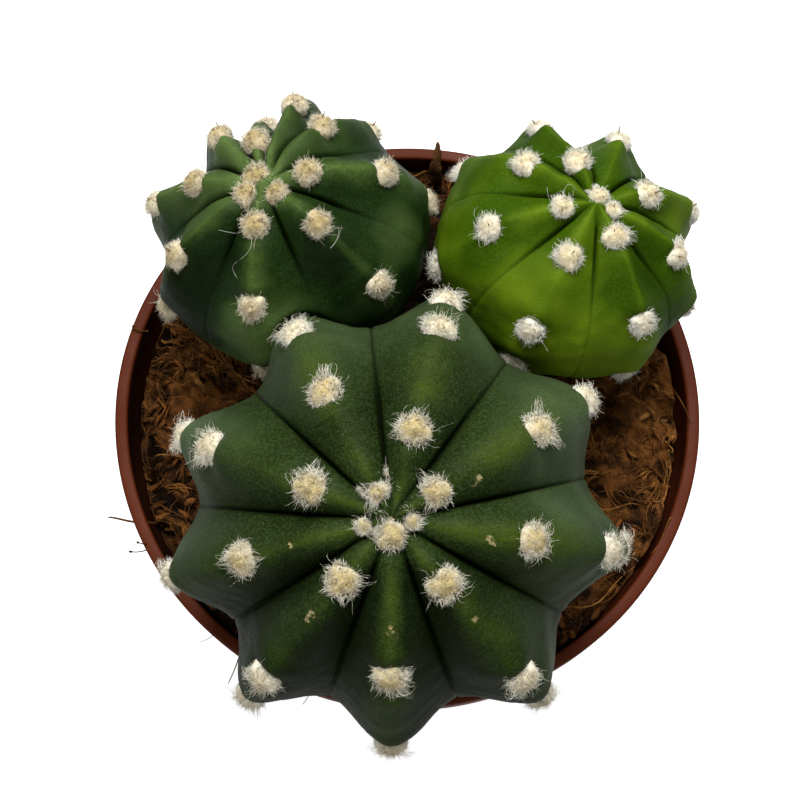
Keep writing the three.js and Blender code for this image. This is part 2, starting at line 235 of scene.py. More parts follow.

# Broad pale and dark patches of skin, partly the skin's own bloom and partly painted light and painted shade
# where light falls on the stems or shade lies on them: latitude and azimuth in degrees, radius in
# millimetres, and how pale (above 0) or dark (below 0) the middle is
PATCHES = {
    "front": (
        (64, 18, 16, 1.5), (74, 62, 11, 1.2), (58, 112, 16, 0.8), (74, 100, 8, 0.9), (76, 168, 14, 1.4),
        (64, 228, 16, -0.5), (68, 299, 9, -0.8), (84, 269, 9, -0.4), (35, 79, 9, -0.5), (30, 308, 8, -0.4),
        (30, 235, 8, -0.3), (20, 147, 6, 0.6), (62, 325, 11, 0.6), (45, 12, 8, 0.5), (22, 118, 7, -0.5),
        (22, 52, 7, -0.2)),
    "left": (
        (64, 342, 8, 0.5), (61, 321, 7, 0.5), (86, 345, 8, -0.6), (16, 100, 12, 0.9), (35, 135, 10, 0.6),
        (32, 185, 8, 0.8), (64, 254, 8, 1.1), (66, 348, 7, 0.7), (55, 213, 9, -0.5), (74, 216, 8, -0.6),
        (45, 300, 7, 0.3), (70, 283, 8, 0.6), (30, 335, 6, 0.4), (47, 316, 8, -1.0), (54, 358, 6, -0.2)),
    "right": (
        (62, 247, 6, -0.7), (62, 221, 8, 0.9), (72, 262, 10, 1.3), (48, 2, 9, 0.7), (58, 203, 6, -0.7),
        (50, 232, 6, 0.7), (40, 290, 7, -0.4), (78, 300, 8, 0.7), (24, 282, 8, 0.4), (50, 24, 7, -0.4)),
}

# Bumps of the skin round an areole, next to the tuft's size: height, middle downhill of the seat, and widths
# downhill and across. The second is the hollow that the tuft sits in.
BUMPS = ((0.26, -1.15, 0.62, 1.05), (-0.3, 0.1, 0.8, 0.9), (0.1, 1.5, 0.7, 1.1))
# How far the bumps reach along the seat's normal, next to the tuft's size
BUMP_REACH = 2.2
# How far low tufts lean upwards, and how much paler they are
UPWARDS = 0.35
PALER = 0.35

# Waves round a tuft's rim: how many lobes each has, and how deep they are
LOBES = ((2, 0.09), (3, 0.08), (4, 0.08), (6, 0.04))
# A cushion next to its tuft's size: its radius, how deep it sits, and the power of its dome
CORE = 0.8
SUNK = 0.2
DOME = 0.6
LOCK_COUNT = 6

# Long curls that lie on a stem: the stem, latitudes and azimuths from end to end, and how far they wave, in
# degrees
CURLS = (
    (LEFT, (21, 42), (259, 250), 5),
    (LEFT, (19, 27), (254, 222), 4),
    (LEFT, (33, 39), (316, 327), 9),
    (RIGHT, (14, 12), (190, 145), 9),
    (RIGHT, (16, 24), (186, 160), 7),
)

# The pit in the coir between the two smaller stems: its middle, radius and depth
PIT = (5, 29, 9, 6)
# Places of painted light (paler) and painted shade (darker) on the coir, where light falls on it or the stems
# shade it: x, y, radius, and how much paler or darker
COIR_LIGHT_AND_SHADE = ((-40, 8, 12, 0.42), (45, 2, 13, 0.6), (47, -23, 10, 0.12), (-54, -12, 7, -0.2), (5, 29, 14, -0.9))
# The coir's clods: length of the waves, seed and depth
CLODS = ((9, 21, 1.5), (3.6, 22, 1.2), (1.5, 23, 0.5))


class Strew(NamedTuple):
    """How one kind of strand is strewn on the coir."""
    # Strands in a bundle, and how far they spread in it
    bundle: int
    spread: float
    # Ranges of length, radius, how high the middle is lifted, and shade
    long: tuple
    wide: tuple
    lift: tuple
    shade: tuple
    # How much a strand bends, and its thickness next to its width
    bend: float
    flat: float
    # Points along a strand, and its sides
    steps: int
    sides: int


STREWS = {
    "coir_shreds": Strew(
        bundle=1, spread=0, long=(3, 7), wide=(0.3, 0.85), lift=(0.1, 1.0), shade=(0.1, 0.6),
        bend=0.5, flat=0.35, steps=6, sides=5),
    "coir_bundles": Strew(
        bundle=6, spread=0.5, long=(4, 11), wide=(0.1, 0.26), lift=(0.1, 1.2), shade=(0.1, 0.75),
        bend=0.6, flat=0.8, steps=6, sides=3),
    "coir_fibres": Strew(
        bundle=1, spread=0, long=(5, 15), wide=(0.05, 0.11), lift=(0.3, 1.6), shade=(0.3, 0.8),
        bend=0.7, flat=1, steps=8, sides=3),
    "coir_strings": Strew(
        bundle=1, spread=0, long=(14, 30), wide=(0.12, 0.2), lift=(0.9, 2.2), shade=(0.6, 0.9),
        bend=0.4, flat=1, steps=14, sides=4),
}
STRING_COUNT = 24

# Loose fibres on the rim: start, end, how high the middle bows, radius, and the size of a bead at the end
LOOSE = (
    ((-51.5, -22.6, 96.0), (-61.0, -22.4, 100.6), 1.6, 0.3, 0),
    ((-50.5, -27.9, 96.5), (-56.2, -29.2, 101.0), 0.8, 0.16, 1.6),
    ((-50.5, -27.0, 96.5), (-54.6, -27.3, 101.5), 0.8, 0.16, 1.6),
    ((-31.5, -45.0, 97.0), (-36.6, -54.8, 90.0), 3.2, 0.16, 0),
    ((-17.8, -54.5, 97.0), (-21.0, -59.2, 98.5), 1.6, 0.1, 0),
    ((-36.0, -44.5, 97.0), (-41.3, -47.0, 100.6), 1.2, 0.08, 0),
    ((-54.6, 17.8, 99.0), (-57.9, 18.4, 101.0), 0.4, 0.25, 0.8),
    ((53.7, -22.2, 100.5), (49.0, -29.8, 99.8), -0.4, 0.17, 0),
    ((53.0, 12.0, 96.0), (58.7, -2.8, 100.5), 0.6, 0.14, 0),
)

# The stage: half the floor's width, the camera's aim, and each light's name, place and size in metres
FLOOR_HALF = 1500
AIM = (-1.5, 2.75, POT_HEIGHT)
LIGHTS = (("overhead", (0.02, 0.36, 0.78), 0.5), ("fill", (-0.35, -0.55, 0.7), 0.6))

# Colours


class Finish(NamedTuple):
    """How waxy a stem's skin is: its gloss, how much its grain shows, how much painted shade darkens it
    towards the grooves, and how bright the painted highlight along the crests' edges is."""
    gloss: float
    grain: float
    shadow: float
    edge: float


FINISHES = {
    "front": Finish(gloss=0.035, grain=0.8, shadow=0.5, edge=0.1),
    "left": Finish(gloss=0.05, grain=0.5, shadow=0.1, edge=0.2),
    "right": Finish(gloss=0.022, grain=0.3, shadow=0.0, edge=0.2),
}


def tint(red, green, blue):
    """A colour picker's 0 to 255 display values as the linear values that Blender's colour sockets take."""
    share = np.array([red, green, blue]) / 255
    linear = np.where(share <= 0.04045, share / 12.92, ((share + 0.055) / 1.055) ** 2.4)
    return tuple(float(value) for value in linear)


# Each stem's wool: its name, and its colours in a tuft's heart and at the tips
WOOLS = {
    "front": ("wool_cream", tint(182, 164, 114), tint(250, 247, 234)),
    "left": ("wool_tan", tint(178, 158, 108), tint(246, 239, 218)),
    "right": ("wool_white", tint(218, 204, 164), tint(255, 253, 247)),
}
HORN_FOOT = tint(120, 92, 60)
HORN_TIP = tint(64, 42, 28)
BARK = (tint(52, 32, 18), tint(98, 64, 36), tint(130, 92, 54))
CORK = tint(164, 150, 106)
DUST = tint(60, 36, 22)
# Nearly black, for the coir stain and painted shade inside the pot's wall
STAIN_AND_SHADE = tint(17, 8, 4)
PAPER = (0.72, 0.72, 0.72)
PAPER_SHADE = (0.66, 0.66, 0.66)
WHITE = (1, 1, 1, 1)


# Settings that a user would change


def colour_setting(name, description, default):
    return bpy.props.FloatVectorProperty(
        name=name, description=description, default=default, subtype="COLOR", size=3, min=0, max=1)


def length_setting(name, description, default):
    return bpy.props.FloatProperty(
        name=name, description=description, default=default, min=0, subtype="DISTANCE", unit="LENGTH")


def count_setting(name, description, default):
    return bpy.props.IntProperty(name=name, description=description, default=default, min=1)


def power_setting(name, description, default):
    return bpy.props.FloatProperty(
        name=name, description=description, default=default, subtype="POWER", unit="POWER")


class SkinSettings(bpy.types.PropertyGroup):
    """Colours and grain of the three stems' skins."""
    # Each stem's shade colour is also used for its painted shade in the grooves, valleys, lines and clefts,
    # and its old skin colour for its painted light patches
    front_body: colour_setting("Front body", "The big stem's grey green", tint(32, 45, 15))
    front_shade: colour_setting("Front shade", "The big stem's green low in its grooves", tint(21, 32, 9))
    front_streak: colour_setting("Front streak", "The streak along the big stem's crests", tint(62, 76, 16))
    front_old: colour_setting("Front old skin", "The big stem's skin near its base", tint(57, 71, 44))
    left_body: colour_setting("Left body", "The left stem's deep green", tint(20, 39, 7))
    left_shade: colour_setting("Left shade", "The left stem's green low in its grooves", tint(15, 31, 6))
    left_streak: colour_setting("Left streak", "The streak along the left stem's crests", tint(74, 94, 40))
    left_old: colour_setting("Left old skin", "The left stem's skin near its base", tint(80, 100, 52))
    right_body: colour_setting("Right body", "The right stem's leaf green", tint(48, 73, 3))
    right_shade: colour_setting("Right shade", "The right stem's green low in its grooves", tint(37, 61, 3))
    right_streak: colour_setting(
        "Right streak", "The streak along the right stem's crests", tint(84, 106, 16))
    right_old: colour_setting("Right old skin", "The right stem's skin near its base", tint(98, 120, 18))
    crease_depth: length_setting("Crease depth", "How deep the line in each groove is", 0.45 * MM)


class WoolSettings(bpy.types.PropertyGroup):
    """The wool of the areoles and the spines in it."""
    hair_radius: length_setting("Hair radius", "Radius of one hair at its root", 0.04 * MM)
    front_length: length_setting("Front hair length", "Length of the big stem's longest locks", 2.8 * MM)
    left_length: length_setting("Left hair length", "Length of the left stem's longest locks", 1.3 * MM)
    right_length: length_setting("Right hair length", "Length of the right stem's longest locks", 2.2 * MM)
    nap: count_setting("Nap hairs", "Short straight hairs over each tuft", 640)
    curls: count_setting("Curled hairs", "Short curled hairs over each tuft", 170)
    rim: count_setting("Rim hairs", "Longer hairs round each tuft", 120)


class PotSettings(bpy.types.PropertyGroup):
    """The moulded pot."""
    plastic: colour_setting("Plastic", "Colour of the moulded plastic", tint(83, 35, 15))
    edge_round: length_setting("Edge round", "Radius of the lip's edges", 0.7 * MM)


class CoirSettings(bpy.types.PropertyGroup):
    """The coir that the stems stand in."""
    dark: colour_setting("Dark", "Colour of the damp coir dust", tint(22, 11, 4))
    brown: colour_setting("Brown", "Colour of most shreds", tint(120, 74, 33))
    gold: colour_setting("Gold", "Colour of the long fibres", tint(168, 116, 60))
    shreds: count_setting("Shreds", "Flat shreds of husk", 700)
    bundles: count_setting("Bundles", "Bundles of matted fibres", 440)
    fibres: count_setting("Fibres", "Single fine fibres", 800)


class StageSettings(bpy.types.PropertyGroup):
    """Camera, lights and floor."""
    distance: length_setting("Distance", "From the aim to the camera", 0.3)
    elevation: bpy.props.FloatProperty(
        name="Elevation", description="Camera's angle above the horizon",
        default=float(np.radians(74.5)), subtype="ANGLE", unit="ROTATION")
    lens: bpy.props.FloatProperty(
        name="Lens", description="Focal length on a 36 mm sensor", default=65.0, subtype="DISTANCE_CAMERA")
    overhead: power_setting("Overhead light", "Watts of the big soft light", 9)
    fill: power_setting("Fill light", "Watts of the light beside the camera", 1.5)
    sky: bpy.props.FloatProperty(name="Sky", description="Strength of the pale surroundings", default=0.26)


# Numbers

WAVE_COUNT = 9


def ramp(low, high, x):
    """0 below low, 1 above high, and 3s^2 - 2s^3 between, where s is the share of the way."""
    share = np.clip((np.asarray(x, float) - low) / (high - low), 0, 1)
    return share * share * (3 - 2 * share)


def mix(first, second, share):
    """first + (second - first) * share."""
    return first + (second - first) * share


def hill(x, width):
    """exp(-(x / width)^2): 1 at 0, and nearly 0 from twice the width on."""
    return np.exp(-((x / width) ** 2))


def turns(count):
    """Evenly spaced angles round a full turn."""
    return np.arange(count) / count * TURN


def unit(vectors):
    """Each vector divided by its own length."""
    return vectors / np.maximum(np.linalg.norm(vectors, axis=-1, keepdims=True), 1e-12)


def waves(points, length, seed):
    """The mean of nine sine waves of nearly one length that cross points in seeded directions, times
    sqrt(18) / 2, so that most of it lies from -1 to 1."""
    rng = np.random.default_rng(seed)
    ways = unit(rng.normal(size=(WAVE_COUNT, 3)))
    rates = TURN / (length * rng.uniform(0.75, 1.3, WAVE_COUNT))
    phases = rng.uniform(0, TURN, WAVE_COUNT)
    return np.sin((points @ ways.T) * rates + phases).mean(-1) * np.sqrt(2 * WAVE_COUNT) / 2


# Meshes


def put_piece(name, body, material, attributes=None):
    """A smooth piece in the row's frame from a body: arrays of points in millimetres, quads and triangles."""
    points, quads, triangles = body
    mesh = bpy.data.meshes.new(name)
    mesh.vertices.add(len(points))
    mesh.vertices.foreach_set("co", (np.asarray(points) * MM).astype(np.float32).ravel())
    quads = np.asarray(quads, np.int32).reshape(-1, 4)
    triangles = np.asarray(triangles, np.int32).reshape(-1, 3)
    corners = np.concatenate([quads.ravel(), triangles.ravel()])
    sizes = np.concatenate([np.full(len(quads), 4), np.full(len(triangles), 3)])
    starts = np.concatenate([[0], np.cumsum(sizes)[:-1]]).astype(np.int32)
    mesh.loops.add(len(corners))
    mesh.polygons.add(len(sizes))
    mesh.polygons.foreach_set("loop_start", starts)
    mesh.polygons.foreach_set("vertices", corners)
    mesh.update(calc_edges=True)
    if mesh.validate():
        raise RuntimeError(f"{name} has faces that aren't whole")
    mesh.shade_smooth()
    for key, values in (attributes or {}).items():
        layer = mesh.attributes.new(key, "FLOAT", "POINT")
        layer.data.foreach_set("value", np.asarray(values, np.float32).ravel())
    mesh.materials.append(material)
    obj = bpy.data.objects.new(name, mesh)
    bpy.context.scene.collection.objects.link(obj)
    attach(obj, "root")
    return obj


def sheet_quads(rows, columns):
    """Quads between the rows of a grid whose columns run anticlockwise round a ring, seen from the last
    row."""
    row, column = np.meshgrid(np.arange(rows - 1), np.arange(columns), indexing="ij")
    beside = (column + 1) % columns
    low = row * columns
    high = low + columns
    return np.stack([low + column, low + beside, high + beside, high + column], -1).reshape(-1, 4)


def fan(tip, ring, outwards=True):
    """Triangles from a tip point to a ring of points. Outwards, the ring runs anticlockwise seen from the
    tip."""
    beside = np.roll(ring, -1)
    tips = np.full(len(ring), tip)
    return np.stack([ring, beside, tips] if outwards else [beside, ring, tips], -1)


def closed_rings(rings, start, end):
    """Points, quads and triangles of a closed body through rings of points (rows, columns, 3), from start to
    end."""
    rows, columns, _ = rings.shape
    points = np.concatenate([rings.reshape(-1, 3), [start], [end]])
    quads = sheet_quads(rows, columns)
    count = rows * columns
    foot = fan(count, np.arange(columns), outwards=False)
    top = fan(count + 1, np.arange(count - columns, count))
    return points, quads, np.concatenate([foot, top])


def upright_rings(radius, height, angle, middle=(0, 0)):
    """Rings of points round an upright line, middle + radius * (cos a, sin a), one ring for each height."""
    x = middle[0] + radius * np.cos(angle)
    y = middle[1] + radius * np.sin(angle)
    return np.stack(np.broadcast_arrays(x, y, height), -1)


# Turns the sides of strands without a lean, so that they differ from strand to strand
ASKEW = np.array([0.31, 0.17, 0.53])


def many_strands(paths, radii, flat=1.0, sides=3, lean=None):
    """Closed strands along paths (n, k, 3), with radii (n, k), or (1, k) for all. Ring i of a strand is its
    path point plus, for each of its sides, radius * (cos a * across + flat * sin a * other), with both axes
    square to the path, and the last path point is the tip. Returns their body, the share of the way along
    for each point, and the number of points in a strand."""
    count, steps, _ = paths.shape
    rings = steps - 1
    heading = unit(np.gradient(paths, axis=1))
    if lean is None:
        lean = np.cross(heading[:, 0], np.roll(heading[:, 0], 1, axis=1) + ASKEW)
    across = unit(np.cross(heading, lean[:, None, :]))
    other = np.cross(heading, across)
    angle = turns(sides)
    ring = (across[:, :rings, None, :] * np.cos(angle)[:, None]
            + other[:, :rings, None, :] * (flat * np.sin(angle))[:, None])
    body = paths[:, :rings, None, :] + ring * radii[:, :rings, None, None]
    each = rings * sides + 1
    points = np.concatenate([body.reshape(count, -1, 3), paths[:, -1:, :]], axis=1).reshape(-1, 3)
    first = (np.arange(count) * each)[:, None, None]
    quads = (first + sheet_quads(rings, sides)[None]).reshape(-1, 4)
    ends = [fan(rings * sides, np.arange((rings - 1) * sides, rings * sides))]
    inner = np.arange(1, sides - 1)
    ends.append(np.stack([np.zeros_like(inner), inner + 1, inner], -1))
    triangles = (first + np.concatenate(ends)[None]).reshape(-1, 3)
    along = np.concatenate([np.repeat(np.arange(rings) / (steps - 1), sides), [1.0]])
    return (points, quads, triangles), np.tile(along, count), each


def join(parts):
    """Several bodies as one, each part's indices moved past the points before it."""
    shift = np.cumsum([0] + [len(part[0]) for part in parts[:-1]])
    points = np.concatenate([part[0] for part in parts])
    quads = np.concatenate([np.reshape(part[1], (-1, 4)) + s for part, s in zip(parts, shift)])
    triangles = np.concatenate([np.reshape(part[2], (-1, 3)) + s for part, s in zip(parts, shift)])
    return points, quads, triangles


# The stems' skin


def axes_of(stem):
    """A stem's east and north across it, and its axis through the crown."""
    to_x, to_y = np.sin(np.radians(stem.lean))
    axis = np.array([to_x, to_y, np.sqrt(1 - to_x * to_x - to_y * to_y)])
    east = unit(np.cross([0, 1, 0], axis))
    return east, np.cross(axis, east), axis


def crest_line(stem, latitude):
    """Ring radius and height of the crests: an ellipse above the middle, and its sine and cosine to a power
    below."""
    low = latitude > np.pi / 2
    power = np.where(low, FULLNESS, 1.0)
    height = np.where(low, stem.drop, stem.rise)
    cosine = np.cos(latitude)
    ring = stem.radius * np.abs(np.sin(latitude)) ** power
    return ring, height * np.sign(cosine) * np.abs(cosine) ** power


def latitude_of(stem, ring, height):
    """The latitude whose crest line lies in the direction of a ring radius and a height."""
    above = np.arctan2(ring / stem.radius, np.maximum(height, 0) / stem.rise)
    low = np.maximum(-height, 0) / stem.drop
    below = np.pi - np.arctan2((ring / stem.radius) ** (1 / FULLNESS), low ** (1 / FULLNESS))
    return np.where(height >= 0, above, below)


def ribs_beside(stem, azimuth):
    """Index of the rib before each azimuth, and the share of the way to the next rib."""
    starts = np.radians([rib.azimuth for rib in stem.ribs])
    starts = np.append(starts - starts[0], TURN)
    turned = np.mod(azimuth - np.radians(stem.ribs[0].azimuth), TURN)
    before = np.clip(np.searchsorted(starts, turned, side="right") - 1, 0, len(stem.ribs) - 1)
    return before, (turned - starts[before]) / (starts[before + 1] - starts[before])


def rib_section(stem, part, latitude):
    """0 on a crest to 1 in a groove. Near the crown it is (1 - |2 part - 1|)^fold, a cleft between round
    ribs, and lower down the sine of a quarter turn of a blunted |..|, a wide hollow between edges."""
    make = GROOVES[stem.name]
    away = 1 - np.abs(2 * part - 1)
    edge = (np.hypot(away, make.blunt) - make.blunt) / (np.hypot(1, make.blunt) - make.blunt)
    return mix(away ** make.fold, np.sin(edge * np.pi / 2), ramp(*make.edged, latitude))


def reach_of(stem, latitude, azimuth):
    """Distance from a stem's centre to its skin: the crest line's, less the groove's and the dimple's
    depth."""
    make = GROOVES[stem.name]
    before, part = ribs_beside(stem, azimuth)
    reaches = np.array([rib.reach for rib in stem.ribs])
    valleys = np.array([rib.valley for rib in stem.ribs])
    ring, height = crest_line(stem, latitude)
    own = mix(reaches[before], np.roll(reaches, -1)[before], ramp(0, 1, part))
    crest = np.hypot(ring, height) * mix(1, own, ramp(*REACHED, latitude))
    opening = 1 - np.exp(-((latitude / make.opening) ** 1.5))
    valley = mix(1, valleys[before], ramp(*make.settled, latitude))
    closing = 1 - CLOSED * ramp(*CLOSING, latitude)
    groove = stem.groove * opening * valley * closing * rib_section(stem, part, latitude)
    return crest - groove - stem.dimple * hill(latitude, DIMPLE_WIDTH)


def on_skin(stem, latitude, azimuth):
    """Points of a stem's skin: its centre plus the crest line's point scaled to the skin's reach."""
    east, north, axis = axes_of(stem)
    ring, height = crest_line(stem, latitude)
    size = reach_of(stem, latitude, azimuth) / np.hypot(ring, height)
    return (np.array(stem.centre)
            + (size * ring * np.cos(azimuth))[..., None] * east
            + (size * ring * np.sin(azimuth))[..., None] * north
            + (size * height)[..., None] * axis)


def press_clear(points, neighbours):
    """Points that lie in a neighbouring stem are moved out along their line from its centre, to a small
    gap."""
    for other in neighbours:
        east, north, axis = axes_of(other)
        away = points - np.array(other.centre)
        x, y, height = away @ east, away @ north, away @ axis
        latitude = latitude_of(other, np.hypot(x, y), height)
        limit = reach_of(other, latitude, np.arctan2(y, x)) + PRESS_GAP
        size = np.linalg.norm(away, axis=-1)
        grown = np.where(size < limit, limit / size, 1)
        points = np.array(other.centre) + away * grown[..., None]
    return points


class Seats(NamedTuple):
    """Where the areoles of a stem sit: points, downhill, sideways and outward directions, tuft sizes, and how
    much paler the tufts lower down are."""
    point: np.ndarray
    down: np.ndarray
    side: np.ndarray
    normal: np.ndarray
    size: np.ndarray
    pale: np.ndarray


def seats_of(stem):
    """The seats of the areoles, with directions from points of the skin a small step above and below. Low on
    a stem the tufts lean upwards from the skin."""
    rows = np.array([
        (np.radians(row), np.radians(rib.azimuth), 1 if i else rib.young)
        for rib in stem.ribs for i, row in enumerate(rib.areoles)])
    latitude, azimuth, share = rows.T
    step = 0.06
    point = on_skin(stem, latitude, azimuth)
    down = unit(on_skin(stem, latitude + step, azimuth) - on_skin(stem, latitude - step, azimuth))
    side = unit(np.cross(down, point - np.array(stem.centre)))
    lean = UPWARDS * ramp(0.7, 1.4, latitude)
    normal = unit(np.cross(side, down) + lean[:, None] * np.array([0, 0, 1]))
    down = np.cross(normal, side)
    return Seats(point, down, side, normal, stem.tuft * share, PALER * ramp(0.5, 1.2, latitude))


def notch(points, seats):
    """How far the skin stands out round its areoles: the sum of the bumps
    a * exp(-((s - m) / u)^2 - (c / w)^2), where s is the way downhill and c the way across from the seat,
    faded along the seat's normal."""
    lift = np.zeros(points.shape[:-1])
    for point, down, side, normal, size, _ in zip(*seats):
        away = points - point
        s = away @ down / size
        c = away @ side / size
        depth = hill(away @ normal, BUMP_REACH * size)
        for high, middle, long, wide in BUMPS:
            lift += depth * high * size * np.exp(-(((s - middle) / long) ** 2) - (c / wide) ** 2)
    return lift


def spot(stem, points, latitude, azimuth, radius):
    """exp(-(d / r)^2) for points at distances d from a place of the skin in degrees."""
    middle = on_skin(stem, np.radians(latitude), np.radians(azimuth))
    return hill(np.linalg.norm(points - middle, axis=-1), radius)


def scars_near(stem, points):
    """How near each point lies to a scar: the largest exp(-(d / r)^2) over the big stem's scars."""
    near = np.zeros(points.shape[:-1])
    if stem is FRONT:
        for scar in SCARS:
            near = np.maximum(near, spot(stem, points, *scar))
    return near


def bloom_and_painted_light_of(stem, points):
    """How pale or dark the skin is at each point, its bloom with painted light and painted shade: the sum of
    share * exp(-(d / r)^2) over the stem's patches, with low seeded waves."""
    bloom = 0.22 * waves(points, 16, 51) + 0.12 * waves(points, 6, 52)
    for *patch, share in PATCHES[stem.name]:
        bloom = bloom + share * spot(stem, points, *patch)
    return bloom


def skin_grid(stem):
    """A grid of latitudes and azimuths over a stem, and for each column its share of the way from one crest
    to the next and the angle between them. Columns crowd towards the grooves: with even steps t, the share is
    t + 0.6 sin(2 pi t) / (2 pi). Rows crowd a little towards the foot."""
    per_rib = COLUMNS_PER_RIB[stem.name]
    starts = np.radians([rib.azimuth for rib in stem.ribs])
    gaps = np.append(starts[1:], starts[0] + TURN) - starts
    even = np.arange(per_rib) / per_rib
    share = even + CROWDING * np.sin(TURN * even) / TURN
    azimuth = (starts[:, None] + gaps[:, None] * share).ravel()
    latitude = np.pi - np.linspace(0.03, 1, ROWS[stem.name]) ** 1.1 * (np.pi - 0.02)
    grid = np.meshgrid(latitude, azimuth, indexing="ij")
    return *grid, np.tile(share, len(stem.ribs)), np.repeat(gaps, per_rib)


def skin(stem, neighbours, crease_depth):
    """A stem's skin over its grid of latitude and azimuth, and its attributes. It follows the solid's, with a
    fine crease d * exp(-(x / 0.35)^2) at x from the groove's line, a wider cleft round the crown, the
    areoles' notches, low waves and raised scars. The bloom attribute carries painted light and painted shade
    too, and is lowered by the painted shade in the valleys; the crease and cleft attributes mark painted
    shade in the grooves' lines and the clefts."""
    make = GROOVES[stem.name]
    per_rib = COLUMNS_PER_RIB[stem.name]
    latitude, azimuth, share, gap = skin_grid(stem)
    points = press_clear(on_skin(stem, latitude, azimuth), neighbours)
    away = unit(points - np.array(stem.centre))
    ring, _ = crest_line(stem, latitude)
    across = np.abs(share - 0.5) * gap * ring
    valleys = np.repeat([rib.valley for rib in stem.ribs], per_rib)
    fade = ramp(0.08, 0.25, latitude) * (1 - ramp(1.9, 2.6, latitude))
    left_over = make.creased * (0.65 + 0.35 * np.clip(valleys, 0, 1))
    fade = fade * mix(1, left_over, ramp(0.35, 1.1, latitude))
    cleft = hill(latitude - CLEFT_LATITUDE, CLEFT_SPREAD) * stem.groove / FRONT.groove
    scars = scars_near(stem, points)
    lift = notch(points, seats_of(stem)) - crease_depth * (hill(across, CREASE_WIDTH) * fade)
    lift -= CLEFT_DEPTH * cleft * hill(across, CLEFT_WIDTH)
    lift += 0.3 * waves(points, 11, len(stem.ribs)) + 0.08 * waves(points, 3.1, 31)
    # Painted shade in each valley, by the stem's table, strongest mid-valley and faded near the crown and the
    # foot
    painted_shade = np.repeat(make.painted_shade, per_rib) * (1 - np.abs(2 * share - 1)) ** make.painted_shade_power
    painted_shade = painted_shade * ramp(0.1, 0.35, latitude) * (1 - ramp(1.3, 1.7, latitude))
    # The crease and cleft attributes mark the painted shade in the grooves' lines and in the clefts; the
    # bloom attribute also carries the painted light and shade of the patches and valleys
    attributes = {
        "crest": np.abs(2 * share - 1) * np.ones_like(latitude),
        "crease": hill(across, LINE_WIDTH) * fade,
        "cleft": hill(across, CLEFT_SHADE_WIDTH) * cleft,
        "bloom": bloom_and_painted_light_of(stem, points) - painted_shade,
        "scar": scars,
        "latitude": latitude / np.pi,
    }
    points = points + away * (lift + 0.12 * scars)[..., None]
    foot = on_skin(stem, np.array(np.pi), np.array(0.0))
    crown = points[-1].mean(0) - 0.05 * axes_of(stem)[2]
    body = closed_rings(points, foot, crown)
    return body, {key: np.append(values.ravel(), [0.0, 1.0]) for key, values in attributes.items()}


def neck(stem):
    """The round neck: upright in the soil and flared above it into the body, a profile carried round a
    circle."""
    foot = on_skin(stem, np.array(np.pi), np.array(0.0))
    low = SOIL_LEVEL - ROOT_DEPTH
    flare_low = SOIL_LEVEL + 1.5
    high = stem.centre[2] - 0.7 * stem.drop
    share = np.linspace(0, 1, 9)
    radius = np.concatenate([[stem.neck, stem.neck], stem.neck * (1 + 0.15 * ramp(0, 1, share))])
    height = np.concatenate([[low, flare_low - 1], mix(flare_low, high, share)])
    rings = upright_rings(radius[:, None], height[:, None], turns(NECK_COLUMNS), foot)
    return closed_rings(rings, (*foot[:2], low), (*foot[:2], high))


# Shader nodes


def new_material(name, **constants):
    """A material whose Principled shader has constant sockets set. Returns it, its node tree and the shader
    node."""
    material = bpy.data.materials.new(name)
    material.use_nodes = True
    shader = material.node_tree.nodes["Principled BSDF"]
    for key, value in constants.items():
        shader.inputs[key.replace("_", " ")].default_value = value
    return material, material.node_tree, shader


def add(tree, kind, **settings):
    """A node of one kind in a tree. Settings that name an input set it, and others are the node's own."""
    made = tree.nodes.new(kind)
    for key, value in settings.items():
        if hasattr(made, key) and key not in made.inputs:
            setattr(made, key, value)
        else:
            made.inputs[key].default_value = value
    return made


def feed(tree, socket, value):
    """Links a socket to an input, or sets the input to a number or a plain colour."""
    if isinstance(value, bpy.types.NodeSocket):
        tree.links.new(value, socket)
    else:
        socket.default_value = (*value, 1.0) if isinstance(value, tuple) else value


def blend_colours(tree, factor, first, second):
    """Mixes two colours, each a socket or a plain colour, and returns the mixed colour's socket. A Mix node's
    colours are its inputs 6 and 7 and its output 2."""
    made = add(tree, "ShaderNodeMix", data_type="RGBA")
    feed(tree, made.inputs["Factor"], factor)
    feed(tree, made.inputs[6], first)
    feed(tree, made.inputs[7], second)
    return made.outputs[2]


def arithmetic(tree, operation, first, second, clamp=False):
    """A Math node on two values, each a socket or a number."""
    made = add(tree, "ShaderNodeMath", operation=operation, use_clamp=clamp)
    feed(tree, made.inputs[0], first)
    feed(tree, made.inputs[1], second)
    return made.outputs[0]


def times(tree, *factors):
    """The product of two or more values, each a socket or a number."""
    product = factors[0]
    for factor in factors[1:]:
        product = arithmetic(tree, "MULTIPLY", product, factor)
    return product


def layered(tree, colour, *layers):
    """A colour with other colours laid over it in turn, each by its own share."""
    for share, over in layers:
        colour = blend_colours(tree, share, colour, over)
    return colour


def scaled(colour, share, lift=0.0):
    """A plain colour times a share, with the same lift for its three parts."""
    return tuple(share * part + lift for part in colour)


def remap(tree, value, low, high, to_low=0.0, to_high=1.0):
    """A value's range from low to high taken to another range, smoothly and clamped."""
    made = add(tree, "ShaderNodeMapRange", interpolation_type="SMOOTHSTEP")
    tree.links.new(value, made.inputs["Value"])
    for key, number in (("From Min", low), ("From Max", high), ("To Min", to_low), ("To Max", to_high)):
        made.inputs[key].default_value = number
    return made.outputs["Result"]


def attribute(tree, name):
    return add(tree, "ShaderNodeAttribute", attribute_name=name).outputs["Fac"]


def bump(tree, height, strength, distance, shader):
    """A Bump node on the shader's normal. Distance is in metres."""
    made = add(tree, "ShaderNodeBump", Strength=strength, Distance=distance)
    tree.links.new(height, made.inputs["Height"])
    tree.links.new(made.outputs["Normal"], shader.inputs["Normal"])


